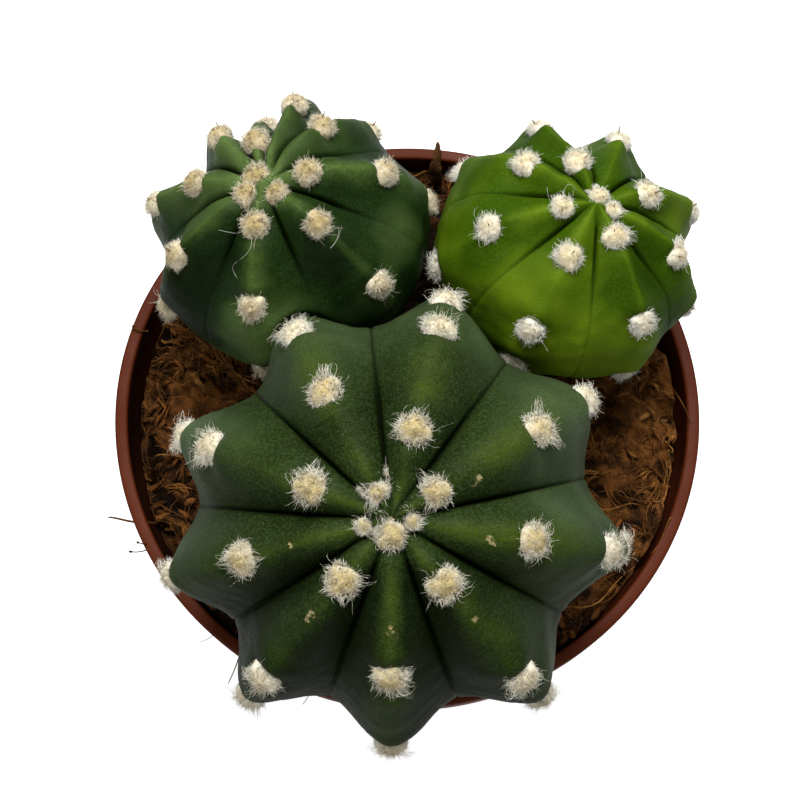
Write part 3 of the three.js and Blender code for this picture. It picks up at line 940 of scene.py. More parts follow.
def new_group(name, inputs, outputs):
    """An empty node group with named sockets, and its input and output nodes."""
    group = bpy.data.node_groups.new(name, "ShaderNodeTree")
    for label, kind, default in inputs:
        socket = group.interface.new_socket(name=label, in_out="INPUT", socket_type=kind)
        socket.default_value = default
    for label, kind in outputs:
        group.interface.new_socket(name=label, in_out="OUTPUT", socket_type=kind)
    return group, group.nodes.new("NodeGroupInput"), group.nodes.new("NodeGroupOutput")


def cloud_group():
    """Broad clouds and fine grain from Object coordinates: a mask from 0 to 1, and a height for bumps."""
    group, into, out = new_group(
        "clouds_and_grain",
        [("Cloud scale", "NodeSocketFloat", 80.0), ("Grain scale", "NodeSocketFloat", 1500.0),
         ("Contrast", "NodeSocketFloat", 2.0)],
        [("Cloud", "NodeSocketFloat"), ("Grain", "NodeSocketFloat")])
    place = group.nodes.new("ShaderNodeTexCoord")
    for label, scale, detail in (("Cloud", "Cloud scale", 5.0), ("Grain", "Grain scale", 3.0)):
        noise = add(group, "ShaderNodeTexNoise", Detail=detail, Roughness=0.55)
        group.links.new(place.outputs["Object"], noise.inputs["Vector"])
        group.links.new(into.outputs[scale], noise.inputs["Scale"])
        centred = arithmetic(group, "SUBTRACT", noise.outputs["Fac"], 0.5)
        raised = arithmetic(group, "MULTIPLY", centred, into.outputs["Contrast"])
        group.links.new(arithmetic(group, "ADD", raised, 0.5, clamp=True), out.inputs[label])
    return group


def fleck_group():
    """Small round flecks from Object coordinates: 1 in a fleck's middle and 0 outside, kept in some cells
    only."""
    group, into, out = new_group(
        "flecks",
        [("Scale", "NodeSocketFloat", 900.0), ("Size", "NodeSocketFloat", 0.3),
         ("Kept", "NodeSocketFloat", 0.5)],
        [("Fleck", "NodeSocketFloat")])
    place = group.nodes.new("ShaderNodeTexCoord")
    cells = add(group, "ShaderNodeTexVoronoi", feature="F1")
    group.links.new(place.outputs["Object"], cells.inputs["Vector"])
    group.links.new(into.outputs["Scale"], cells.inputs["Scale"])
    near = arithmetic(group, "DIVIDE", cells.outputs["Distance"], into.outputs["Size"])
    dot = arithmetic(group, "SUBTRACT", 1.0, near, clamp=True)
    chance = group.nodes.new("ShaderNodeSeparateColor")
    group.links.new(cells.outputs["Color"], chance.inputs["Color"])
    kept = arithmetic(group, "LESS_THAN", chance.outputs["Red"], into.outputs["Kept"])
    group.links.new(arithmetic(group, "MULTIPLY", dot, kept), out.inputs["Fleck"])
    return group


def use_group(tree, name, maker, **values):
    """A shared group's outputs in a tree, with its own values. The group is made when it is first used."""
    made = tree.nodes.new("ShaderNodeGroup")
    made.node_tree = bpy.data.node_groups.get(name) or maker()
    for key, value in values.items():
        made.inputs[key.replace("_", " ")].default_value = value
    return made.outputs


def clouds(tree, cloud_scale, grain_scale=1500.0):
    """Sockets of the clouds' mask and of the grain's height."""
    made = use_group(
        tree, "clouds_and_grain", cloud_group, Cloud_scale=cloud_scale, Grain_scale=grain_scale)
    return made["Cloud"], made["Grain"]


def dots(tree, scale, size, kept):
    """Socket of the flecks' mask."""
    return use_group(tree, "flecks", fleck_group, Scale=scale, Size=size, Kept=kept)["Fleck"]


def skin_material(name, body, shade, streak, old, finish):
    """Waxy skin: body colour with clouds and rough grain; pale, frosted and dark patches, partly the skin's
    bloom and partly painted light and painted shade; painted shade towards the grooves, in the valleys and in
    the grooves' lines and clefts; yellow green blotches along the crests near the crown; a painted highlight
    along the crests' edges; pale flecks and corky scars."""
    material, tree, shader = new_material(name, Roughness=0.5, Specular_IOR_Level=finish.gloss)
    broad, broad_grain = clouds(tree, 75.0, 1900.0)
    fine, fine_grain = clouds(tree, 900.0, 3600.0)
    crest, latitude, bloom, cleft, crease, scar = (
        attribute(tree, key) for key in ("crest", "latitude", "bloom", "cleft", "crease", "scar"))
    # Patches of bloom, painted light and painted shade, and painted shade towards the grooves and in the
    # valleys
    aged = remap(tree, latitude, 0.2, 0.46, 0.0, 0.4)
    pale = arithmetic(tree, "ADD", aged, bloom, clamp=True)
    frost_and_painted_light = remap(tree, bloom, 0.6, 1.5, 0.0, 0.9)
    deep = times(tree, remap(tree, crest, 0.8, 0.05), finish.shadow)
    painted_shade = remap(tree, bloom, -0.05, -0.9, 0.0, 0.92)
    # Blotches along the crests, fainter in the painted shade, and a painted highlight along the crests' edges
    blotches = times(
        tree,
        remap(tree, crest, 0.45, 0.92, 0.08, 1.0),
        remap(tree, latitude, 0.45, 0.12),
        remap(tree, broad, 0.3, 0.75, 0.15, 1.0),
        remap(tree, bloom, -0.6, 0.1, 0.35, 1.0),
        remap(tree, fine, 0.2, 0.8, 0.6, 1.0))
    edge = times(tree, remap(tree, crest, 0.86, 0.99), remap(tree, latitude, 0.5, 0.3, 0.0, finish.edge))
    dull = remap(tree, broad, 0.75, 0.1, 0.0, 0.4)
    # Grain and flecks, calmer in the painted shade of the valleys, and pits
    calm = remap(tree, bloom, -0.05, -0.9, 1.0, 0.3)
    rough = times(tree, remap(tree, broad_grain, 0.3, 0.8, 0.0, 0.55 * finish.grain), calm)
    pits = remap(tree, fine_grain, 0.55, 0.1, 0.0, 0.7 * finish.grain)
    specks = times(tree, dots(tree, 2000.0, 0.42, 0.5), calm, 0.5 * finish.grain)
    # Painted shade in the grooves' lines and in the clefts, and the scars
    hollow = remap(tree, cleft, 0.0, 0.8, 0.0, 0.5)
    line = remap(tree, crease, 0.1, 1.0, 0.0, 0.85)
    dark = arithmetic(tree, "MAXIMUM", hollow, line)
    cork = remap(tree, times(tree, scar, remap(tree, fine, 0.3, 0.6)), 0.3, 0.6, 0.0, 0.75)
    colour = layered(
        tree, body, (pale, old), (frost_and_painted_light, scaled(old, 1.9)), (deep, shade), (painted_shade, scaled(shade, 0.45)),
        (blotches, streak), (edge, scaled(streak, 1.5)), (dull, shade), (rough, scaled(body, 2.4, 0.006)),
        (pits, scaled(shade, 0.4)), (specks, scaled(body, 2.2, 0.05)), (dark, scaled(shade, 0.12)),
        (cork, CORK))
    tree.links.new(colour, shader.inputs["Base Color"])
    tree.links.new(remap(tree, broad_grain, 0, 1, 0.42, 0.6), shader.inputs["Roughness"])
    bump(tree, arithmetic(tree, "ADD", broad_grain, fine_grain), 0.4, 0.08 * MM, shader)
    return material


def wool_material(name, heart, tip):
    """Wool, yellowish in a tuft's heart and pale towards the hairs' tips and its rim."""
    material, tree, shader = new_material(name, Roughness=0.9, Sheen_Weight=0.1, Specular_IOR_Level=0.1)
    cloud, grain = clouds(tree, 700.0, 3000.0)
    varied = times(tree, arithmetic(tree, "SUBTRACT", cloud, 0.5), 0.4)
    pale = arithmetic(tree, "ADD", attribute(tree, "pale"), varied, clamp=True)
    tree.links.new(blend_colours(tree, pale, heart, tip), shader.inputs["Base Color"])
    bump(tree, grain, 0.6, 0.12 * MM, shader)
    return material


def fibre_material(name, dark, brown, gold):
    """Coir: each strand's shade attribute runs from dark dust through brown to gold, with mottling along it
    and dark clumps of painted shade laid at random."""
    material, tree, shader = new_material(name, Roughness=0.85, Specular_IOR_Level=0.08)
    cloud, grain = clouds(tree, 500.0, 2600.0)
    clumps, _ = clouds(tree, 170.0)
    shade = attribute(tree, "shade")
    worn = remap(tree, cloud, 0.3, 0.8, 0.0, 0.6)
    # Dark clumps at random: painted shade between clumps of coir
    darkened = remap(tree, clumps, 0.55, 0.15, 0.0, 0.85)
    dry = times(tree, remap(tree, shade, 0.0, 0.25), 0.35)
    frayed = times(tree, remap(tree, grain, 0.55, 0.95), dry)
    colour = layered(
        tree, dark, (remap(tree, shade, 0.0, 0.5), brown), (remap(tree, shade, 0.5, 1.0), gold),
        (worn, dark), (darkened, scaled(dark, 0.6)), (frayed, gold))
    tree.links.new(colour, shader.inputs["Base Color"])
    bump(tree, grain, 0.8, 0.25 * MM, shader)
    return material


def plastic_material(colour):
    """Moulded plastic with a satin finish, faint clouds, dust specks and a fine grain, darkened inside below
    the lip by a coir stain and painted shade."""
    material, tree, shader = new_material("moulded_plastic", Roughness=0.5, Specular_IOR_Level=0.08)
    cloud, grain = clouds(tree, 60.0, 2200.0)
    faded = remap(tree, cloud, 0.2, 0.9, 0.0, 0.3)
    specks = times(tree, dots(tree, 420.0, 0.22, 0.2), 0.5)
    # Inside below the lip: coir stain and painted shade
    darkened = times(tree, attribute(tree, "stain"), remap(tree, cloud, 0, 1, 0.8, 1))
    mixed = layered(tree, colour, (faded, scaled(colour, 0.62)), (specks, DUST), (darkened, STAIN_AND_SHADE))
    tree.links.new(mixed, shader.inputs["Base Color"])
    tree.links.new(remap(tree, cloud, 0, 1, 0.42, 0.6), shader.inputs["Roughness"])
    bump(tree, grain, 0.3, 0.05 * MM, shader)
    return material


def spine_material():
    """Horny brown spines, paler at the foot."""
    material, tree, shader = new_material("spine_horn", Roughness=0.4)
    colour = blend_colours(tree, remap(tree, attribute(tree, "along"), 0.2, 1.0), HORN_FOOT, HORN_TIP)
    tree.links.new(colour, shader.inputs["Base Color"])
    return material


# Pieces


def wall_radius(z):
    """Outer radius of the pot's wall at a height below the lip. Its top lies half a millimetre outside the
    lip's inner edge."""
    return mix(BASE_RADIUS, RIM_RADIUS - LIP_WIDTH + 0.5, z / LIP_FOOT)


def corner_arc(centre, radius, first, last, steps=5):
    """Points of an arc about a centre, from one angle to another in degrees."""
    angle = np.radians(np.linspace(first, last, steps))
    return np.stack([centre[0] + radius * np.cos(angle), centre[1] + radius * np.sin(angle)], -1)


def pot_profile(edge):
    """Radius and height round the wall's section, from the base's middle out and up to the lip and down
    inside."""
    inner = RIM_RADIUS - LIP_WIDTH
    outside = np.linspace(1.4, LIP_FOOT - 0.8, 12)
    inside = np.linspace(LIP_FOOT - 1.5, FLOOR + 1, 10)
    under_lip = np.array([1.2, 2.0, 3.2, 5.0, 7.0])
    middle = 6
    return np.concatenate([
        np.stack([np.linspace(middle, BASE_RADIUS - 1.4, 8), np.zeros(8)], -1),
        corner_arc((BASE_RADIUS - BASE_ROUND, BASE_ROUND), BASE_ROUND, -90, -3, 4),
        np.stack([wall_radius(outside), outside], -1),
        corner_arc((RIM_RADIUS - edge, LIP_FOOT + edge), edge, -90, 0),
        corner_arc((RIM_RADIUS - edge, POT_HEIGHT - edge), edge, 0, 90),
        corner_arc((inner + INNER_ROUND, POT_HEIGHT - 1.1 * INNER_ROUND), INNER_ROUND, 90, 180),
        np.stack([np.full(5, inner), POT_HEIGHT - under_lip], -1),
        np.stack([wall_radius(inside) - WALL, inside], -1),
        np.stack([np.linspace(wall_radius(FLOOR) - WALL - 0.8, middle, 8), np.full(8, FLOOR)], -1),
    ])


def cut_drains(obj):
    """Round drain holes through the pot's floor, cut by short cylinders."""
    parts = []
    for turn in turns(DRAIN_COUNT):
        middle = (DRAIN_CIRCLE * np.cos(turn), DRAIN_CIRCLE * np.sin(turn))
        rings = upright_rings(DRAIN_RADIUS, np.array([[-FLOOR], [2 * FLOOR]]), turns(24), middle)
        parts.append(closed_rings(rings, (*middle, -FLOOR), (*middle, 2 * FLOOR)))
    cutter = put_piece("drain_cutter", join(parts), obj.data.materials[0])
    modifier = obj.modifiers.new("drains", "BOOLEAN")
    modifier.operation = "DIFFERENCE"
    modifier.solver = "EXACT"
    modifier.object = cutter
    bpy.context.view_layer.objects.active = obj
    bpy.ops.object.modifier_apply(modifier=modifier.name)
    bpy.data.objects.remove(cutter)
    obj.data.shade_smooth()


def soil_height(x, y):
    """The solid's own height of the coir: a shallow hollow with three lengths of waves."""
    broad = np.sin(x * 0.16 + 0.6) * np.cos(y * 0.13 + 1.1)
    lumps = np.sin(x * 0.41 + 1.9) * np.sin(y * 0.37 + 0.4)
    crumbs = np.sin(x * 0.83 + y * 0.29) * np.cos(y * 0.91 - x * 0.23)
    hollow = SOIL_HOLLOW * (1 - (x * x + y * y) / (RIM_RADIUS * RIM_RADIUS))
    return SOIL_LEVEL - hollow + SOIL_RELIEF * (0.5 * broad + 0.4 * lumps + 0.45 * crumbs)


def mound(x, y, middle_x, middle_y, radius):
    """exp(-(d / r)^2) at a distance d from the middle."""
    return np.exp(-((x - middle_x) ** 2 + (y - middle_y) ** 2) / (radius * radius))


def coir_tone(x, y):
    """How much paler the coir is at a place, by painted light and painted shade: the sum of share * exp(-(d /
    r)^2) over the places of painted light and shade."""
    return sum(share * mound(x, y, *place) for *place, share in COIR_LIGHT_AND_SHADE)


def sinking(x, y):
    """How far the coir has sunk: in the pit, and along the wall, deepest at the left and in seeded places."""
    *place, pit_depth = PIT
    pit = pit_depth * mound(x, y, *place)
    brim = wall_radius(LIP_FOOT) - WALL
    from_left = np.arctan2(y, -x)
    places = np.clip(1.3 * waves(np.stack([x, y, np.zeros_like(x)], -1), 13, 24), 0, 1)
    depth = 3 * places + 3.2 * hill(from_left, 0.75)
    return pit + np.minimum(depth, 4) * ramp(brim - 4, brim - 1, np.hypot(x, y))


def coir_surface():
    """The coir as a closed body: a polar grid on top whose height is the solid's plus clods
    -|waves| of three lengths, with gaps at the wall, a side inside the pot's, and a floor."""
    clear = 0.4
    low = FLOOR + clear
    brim = wall_radius(LIP_FOOT) - WALL
    base = wall_radius(low) - WALL - clear
    angle = turns(COIR_COLUMNS)
    radius = np.linspace(brim, 1.2, COIR_ROWS)
    x = radius[:, None] * np.cos(angle)
    y = radius[:, None] * np.sin(angle)
    flat = np.stack([x, y, np.zeros_like(x)], -1)
    clods = -sum(deep * np.abs(waves(flat, length, seed)) for length, seed, deep in CLODS)
    z = soil_height(x, y) + clods + 1.2 - sinking(x, y)
    wall = upright_rings(base, low, angle)[None]
    rings = np.concatenate([wall, np.stack([x, y, z], -1)])
    # Painted shade: the coir is darker the deeper the clods' hollows are, with the painted light and shade of
    # its places
    top_shade = 0.2 + 0.17 * (clods + 1.0) + 0.6 * coir_tone(x, y)
    shade = np.concatenate([np.zeros(COIR_COLUMNS), top_shade.ravel(), [0, 0.2]])
    return closed_rings(rings, (0, 0, low), (0, 0, z[-1].mean())), shade


def strewn(rng, kind, count):
    """Strands that lie on the coir. Each bundle lies about a seeded place: (s - 1/2) * length along a seeded
    way, and bend * (s - 1/2)^2 * length to one side, with a slight sway. It follows the coir's height, with
    its middle lifted by lift * 4 s (1 - s) and its ends sunk. Its fibres are spread about it."""
    limit = wall_radius(LIP_FOOT) - WALL - 0.3
    out = limit * np.sqrt(rng.uniform(0.08, 1.02, count))
    turn = rng.uniform(0, TURN, count)
    pick = np.repeat(np.arange(count), kind.bundle)
    number = len(pick)
    middle = np.stack([out * np.cos(turn), out * np.sin(turn)], -1)[pick]
    middle = middle + rng.normal(0, kind.spread, (number, 2))
    way = rng.uniform(0, TURN, count)[pick] + rng.normal(0, 0.4 * kind.spread, number)
    size = rng.uniform(*kind.long, count)[pick] * rng.uniform(0.75, 1.05, number)
    s = np.linspace(0, 1, kind.steps)
    side = np.stack([-np.sin(way), np.cos(way)], -1)
    ahead = np.stack([np.cos(way), np.sin(way)], -1)
    curve = rng.normal(0, kind.bend, count)[pick] + rng.normal(0, 0.4 * kind.bend, number)
    wave = np.sin(TURN * (s + rng.uniform(0, 1, number)[:, None]))
    sway = rng.normal(0, 0.08 * kind.bend, number)[:, None] * wave
    place = (middle[:, None]
             + ahead[:, None] * ((s - 0.5) * size[:, None])[..., None]
             + side[:, None] * (((s - 0.5) ** 2 * curve[:, None] + sway) * size[:, None])[..., None])
    reach = np.linalg.norm(place, axis=-1)
    place *= np.minimum(1, limit / np.maximum(reach, 1e-6))[..., None]
    slope = rng.normal(0, 0.1, count)[pick][:, None] * (s - 0.5) * size[:, None]
    rise = rng.uniform(*kind.lift, count)[pick][:, None] * 4 * s * (1 - s) - 0.5 * np.abs(2 * s - 1) ** 3
    level = rng.uniform(-0.5, 0.5, count)[pick] + rng.normal(0, 0.5 * kind.spread, number)
    x, y = place[..., 0], place[..., 1]
    z = soil_height(x, y) - sinking(x, y) + rise + np.clip(slope, -1.2, 1.2) + level[:, None]
    paths = np.concatenate([place, z[..., None]], -1)
    radius = rng.uniform(*kind.wide, number)[:, None] * (1 - 0.6 * np.abs(2 * s - 1) ** 2)
    lean = np.array([0.02, 0.05, 1.0]) + rng.normal(0, 0.35, (number, 3)) * [1, 1, 0]
    body, _, each = many_strands(paths, radius, flat=kind.flat, sides=kind.sides, lean=lean)
    # The strands take the coir's painted light and shade at their middles
    tone = rng.uniform(*kind.shade, count)[pick] + rng.normal(0, 0.07, number) + coir_tone(*middle.T)
    return body, np.repeat(np.clip(tone, 0, 1), each)


def loose_fibres():
    """The fibres that lie over the rim: way * s with the middle raised by bow * 4 s (1 - s), a wave to one
    side, and a bead where there is one."""
    s = np.linspace(0, 1, 14)
    start, end = (np.array([row[i] for row in LOOSE]) for i in (0, 1))
    bow, radius, bead = (np.array([row[i] for row in LOOSE])[:, None] for i in (2, 3, 4))
    paths = mix(start[:, None], end[:, None], s[:, None])
    paths[..., 2] += bow * 4 * s * (1 - s)
    side = unit(np.cross(end - start, [0, 0, 1]))
    paths += side[:, None] * (0.35 * np.sin(5 * s + 9 * radius))[..., None]
    radii = radius * (1 - 0.3 * s + bead * ramp(0.86, 0.95, s))
    body, _, each = many_strands(paths, radii, sides=5)
    tone = np.repeat(np.where(radius > 0.2, 0.25, np.where(bead > 0, 0.15, 0.6)), each)
    return body, tone


def cushion(point, down, side, normal, size, old, high, rng):
    """A tuft's core: z = h (1 - r^2)^0.6 over a rim with seeded lobes, with two lengths of low waves."""
    rows, columns = 8, 20
    s = np.linspace(1.0, 0.12, rows)[:, None]
    angle = turns(columns)
    lobes = sum(depth * np.cos(count * angle + rng.uniform(0, TURN)) for count, depth in LOBES)
    rim = CORE * (1 + lobes)
    x = size * s * rim * np.cos(angle)
    y = size * s * rim * np.sin(angle)
    z = size * (high * (1 - s ** 2) ** DOME - SUNK - 0.4 * (s > 0.99)) * np.ones_like(x)
    grid = point + x[..., None] * side - y[..., None] * down + z[..., None] * normal
    relief = 0.06 * waves(grid, 0.5 * size, 7) + 0.03 * waves(grid, 0.22 * size, 8)
    grid = grid + normal * (size * relief)[..., None]
    pale = (old + 0.4 * s ** 3 * np.ones_like(x)).ravel()
    body = closed_rings(grid, point - 0.9 * size * normal, grid[-1].mean(0) + 0.02 * size * normal)
    return body, np.append(pale, [0.4 + old, 0.1 + old])


def across_tufts(seats, tuft, turn):
    """Directions across each hair's tuft, at a turn from its side towards uphill."""
    return np.cos(turn)[:, None] * seats.side[tuft] - np.sin(turn)[:, None] * seats.down[tuft]


def curved_paths(root, way, bend, long, curl, s):
    """Paths root + length * (way * s + curl * bend * s^2)."""
    return (root[:, None]
            + way[:, None] * (long[:, None] * s)[..., None]
            + bend[:, None] * (curl * long[:, None] * s ** 2)[..., None])


def nap(seats, count, fleece, hair_radius, curled, rng):
    """Short hairs over the cushions. Each leaves a seeded point of the dome, or of the cushion's side below
    it, along its normal with a seeded lean, straight or curled."""
    tuft = np.repeat(np.arange(len(seats.size)), count)
    number = len(tuft)
    share = np.sqrt(rng.uniform(0, 1.6, number))
    below = np.maximum(share - 1, 0)
    share = np.minimum(share, 1)
    turn = rng.uniform(0, TURN, number)
    size = seats.size[tuft]
    out = across_tufts(seats, tuft, turn)
    flat = np.clip(1 - share ** 2, 0.03, 1)
    height = fleece.high * flat ** DOME - 1.2 * SUNK - 0.9 * below
    slope = np.minimum(1.2 * fleece.high * share * flat ** -0.4, 1.4) + 2 * below
    across = CORE * size * (share - 0.7 * below)
    root = seats.point[tuft] + across[:, None] * out + (size * height)[:, None] * seats.normal[tuft]
    upright = unit(seats.normal[tuft] + slope[:, None] * out)
    way = unit(upright + rng.normal(0, fleece.tangle, (number, 3)))
    long = fleece.nap * size * rng.uniform(0.6, 1.3, number)
    steps = np.array([0, 0.5, 1.0]) if curled else np.array([0, 1.0])
    bend = unit(rng.normal(0, 1, (number, 3))) * (0.7 if curled else 0)
    paths = curved_paths(root, way, bend, long, 1, steps)
    radii = hair_radius * (1.2 - 0.5 * steps)[None] * rng.uniform(0.7, 1.3, number)[:, None]
    body, along, each = many_strands(paths, radii)
    tone = -0.05 + 0.6 * share ** 2 + seats.pale[tuft] + rng.normal(0, 0.2, number)
    return body, np.repeat(tone, each) + 0.4 * along


def rim_hairs(seats, count, long, high, hair_radius, rng):
    """Longer hairs round the cushions. About half are a short fringe that lies every way, and half run
    together into the tips of a few locks, combed to one side and mostly downhill. A hair's path is
    root + s * (end - root) + 4 s (1 - s) * bow."""
    number = len(seats.size)
    tuft = np.repeat(np.arange(number), count)
    total = len(tuft)
    point, normal, size = seats.point[tuft], seats.normal[tuft], seats.size[tuft]
    shape = (number, LOCK_COUNT)
    comb = rng.normal(-0.5 * np.pi, 0.9, (number, 1)) + rng.normal(0, 1.0, shape)
    reach = long * rng.uniform(0.15, 1, shape) * (seats.size / seats.size.max())[:, None] ** 0.5
    rise = reach * rng.uniform(-0.2, 0.4, shape)
    lock = rng.integers(0, LOCK_COUNT, total)
    comb, reach, rise = (values[tuft, lock] for values in (comb, reach, rise))
    locked = rng.uniform(0, 1, total) < 0.55
    turn = np.where(locked, comb + rng.normal(0, 0.4, total), rng.uniform(0, TURN, total))
    out = across_tufts(seats, tuft, turn)
    start = rng.uniform(0.45, 0.85, total)
    height = size * (high * (1 - start ** 2) ** DOME - SUNK)
    root = point + (start * size)[:, None] * out + height[:, None] * normal
    tip = point + (CORE * size + reach)[:, None] * across_tufts(seats, tuft, comb) + rise[:, None] * normal
    along_lock = mix(root, tip, rng.uniform(0.5, 1.05, total)[:, None])
    along_lock += rng.normal(0, 0.1, (total, 3)) * reach[:, None]
    fringe = unit(out + 0.4 * normal + rng.normal(0, 0.7, (total, 3)))
    fringe = root + fringe * (0.34 * size * rng.lognormal(0, 0.35, total))[:, None]
    end = np.where(locked[:, None], along_lock, fringe)
    far = np.linalg.norm(end - root, axis=-1, keepdims=True)
    bow = far * (0.15 * normal + rng.normal(0, 0.17, (total, 3)))
    s = np.array([0, 0.35, 0.7, 1.0])[:, None]
    paths = root[:, None] + (end - root)[:, None] * s + bow[:, None] * (4 * s * (1 - s))
    radii = hair_radius * (1.1 - 0.5 * s.T) * rng.uniform(0.6, 1.1, total)[:, None]
    body, along, each = many_strands(paths, radii)
    return body, np.repeat(0.6 + rng.normal(0, 0.15, total), each) + 0.3 * along


def crown_wool(count, hair_radius, rng):
    """Hairs from the big stem's young grooves: way * s + bend * s^2 from seeded places round each wisp's
    middle."""
    latitude, azimuth, spread = np.array(WISPS).T
    middle = on_skin(FRONT, np.radians(latitude), np.radians(azimuth))
    pick = np.repeat(np.arange(len(middle)), count)
    number = len(pick)
    away = unit(middle - np.array(FRONT.centre))[pick]
    aside = rng.normal(0, 1, (number, 3)) * spread[pick][:, None]
    aside -= away * (aside * away).sum(-1, keepdims=True)
    way = unit(away + rng.normal(0, 0.8, (number, 3)))
    bend = rng.normal(0, 0.4, (number, 3))
    long = rng.lognormal(0, 0.3, number)[:, None, None]
    s = np.array([0, 0.5, 1.0])[:, None]
    paths = (middle[pick] + aside - 0.15 * away)[:, None] + long * (way[:, None] * s + bend[:, None] * s ** 2)
    radii = hair_radius * (1.1 - 0.5 * s.T)
    body, along, _ = many_strands(paths, radii)
    return body, 0.5 + 0.4 * along


def stray_hairs(seats, per_tuft, length, hair_radius, rng):
    """Long loose hairs that curl away from the tufts: curved paths with a wave across them."""
    tuft = np.repeat(np.arange(len(seats.size)), per_tuft)
    turn = rng.uniform(0, TURN, len(tuft))
    out = across_tufts(seats, tuft, turn)
    root = seats.point[tuft] + (0.6 * seats.size[tuft])[:, None] * out
    way = unit(out + 0.3 * seats.normal[tuft] + 0.5 * seats.down[tuft])
    long = length * rng.lognormal(0, 0.4, len(tuft)) * seats.size[tuft] / seats.size.max()
    steps = np.linspace(0, 1, 10)
    bend = unit(rng.normal(0, 1, (len(tuft), 3))) - 0.6 * seats.normal[tuft]
    phase = rng.uniform(0, TURN, len(tuft))[:, None]
    other = np.cross(way, bend)
    wave = 0.12 * long[:, None] * steps * np.sin(phase + steps * 7.0)
    paths = curved_paths(root, way, bend, long, 0.35, steps) + other[:, None] * wave[..., None]
    radii = hair_radius * (1 - 0.6 * steps)[None]
    body, along, _ = many_strands(paths, radii)
    return body, 0.5 + 0.5 * along


def long_curls(hair_radius):
    """The long curls, in the skin's latitude and azimuth with a sine wave across, a little above the skin."""
    s = np.linspace(0, 1, 18)
    paths = []
    for stem, latitudes, azimuths, wave in CURLS:
        latitude = np.radians(mix(*latitudes, s) + 0.4 * wave * np.sin(4 * s) * s)
        azimuth = np.radians(mix(*azimuths, s) + wave * np.sin(7 * s))
        points = on_skin(stem, latitude, azimuth)
        away = unit(points - np.array(stem.centre))
        paths.append(points + away * (0.35 + 0.5 * np.sin(3 * s))[:, None])
    radii = hair_radius * (1.1 - 0.5 * s)[None]
    body, along, _ = many_strands(np.array(paths), radii)
    return body, 0.6 + 0.4 * along


def spine_set(seats, per_tuft, rng):
    """Short stiff spines that show in a tuft: a straight taper with a slight bend."""
    tuft = np.repeat(np.arange(len(seats.size)), per_tuft)
    turn = rng.uniform(0, TURN, len(tuft))
    out = across_tufts(seats, tuft, turn)
    size = seats.size[tuft]
    root = seats.point[tuft] + (0.35 * size * rng.uniform(0, 1, len(tuft)))[:, None] * out
    way = unit(seats.normal[tuft] + 0.75 * out * rng.uniform(0.1, 1, len(tuft))[:, None])
    long = size * rng.lognormal(-0.25, 0.22, len(tuft))
    steps = np.linspace(0, 1, 6)
    bend = unit(rng.normal(0, 1, (len(tuft), 3)))
    paths = curved_paths(root, way, bend, long, 0.08, steps)
    radii = 0.2 * (1 - 0.75 * steps)[None]
    body, along, _ = many_strands(paths, radii, sides=5)
    return body, along


def sliver_shape(low, high):
    """The sliver of bark from one height to another: a thin strand that leans back by lean * s^2.2 and
    narrows to its tip, with ridges along it. Returns its mesh and the ridges' height at its points."""
    s = np.linspace(0, 1, 26)
    out = SLIVER_LEAN * s ** 2.2
    foot_x, foot_y = SLIVER_FOOT
    path = np.stack([
        foot_x + 0.05 * out + 0.12 * np.sin(9 * s), foot_y + out, mix(low + 0.3, high, s)], -1)[None]
    wide = SLIVER_RADIUS * (1 - 0.7 * ramp(0.6, 1.0, s)) * (1 + 0.12 * np.sin(17 * s))
    lean = np.array([[0.0, 1.0, 0.25]])
    (points, quads, triangles), _, _ = many_strands(path, wide[None], flat=0.5, sides=14, lean=lean)
    ridge = waves(points * [3, 3, 0.6], 2.2, 91)
    centre = np.stack([np.interp(points[:, 2], path[0, :, 2], path[0, :, axis]) for axis in (0, 1)], -1)
    points[:, :2] += unit(points[:, :2] - centre) * (0.12 * ridge)[:, None]
    return (points, quads, triangles), ridge


class CACTUS_OT_pot(bpy.types.Operator):
    """Moulds the round pot with its lip and drain holes. The soft wall is pressed a little wider across
    behind the middle: its radius grows by the share spread * (z / height)^2 * cos(a)^2 * (1 + sin(a))^2."""
    bl_idname = "cactus.pot"
    bl_label = "Mould Pot"

    def execute(self, context):
        settings = context.scene.cactus_pot
        profile = pot_profile(settings.edge_round / MM)
        height = profile[:, 1:]
        angle = turns(POT_COLUMNS)
        wider = MOUTH_SPREAD * (height / POT_HEIGHT) ** 2 * np.cos(angle) ** 2 * (1 + np.sin(angle)) ** 2
        rings = upright_rings(profile[:, :1] * (1 + wider), height, angle)
        body = closed_rings(rings, (0, 0, 0), (0, 0, FLOOR))
        # Inside below the lip the wall is darkened by a coir stain and painted shade, less at the back and
        # the right where light falls
        inside = np.arange(len(profile)) > profile[:, 1].argmax()
        stained_and_shaded = inside * ramp(POT_HEIGHT - 0.5, POT_HEIGHT - 1.6, profile[:, 1])
        less_stain_and_shade = np.maximum(ramp(0, 0.6, np.sin(angle)), ramp(0.5, 0.95, np.cos(angle)))
        stain = np.append((stained_and_shaded[:, None] * (1 - 0.65 * less_stain_and_shade)).ravel(), [0, 1])
        plastic = plastic_material(tuple(settings.plastic))
        obj = put_piece("pot_moulding", body, plastic, {"stain": stain})
        cut_drains(obj)
        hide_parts("pot")
        return {"FINISHED"}


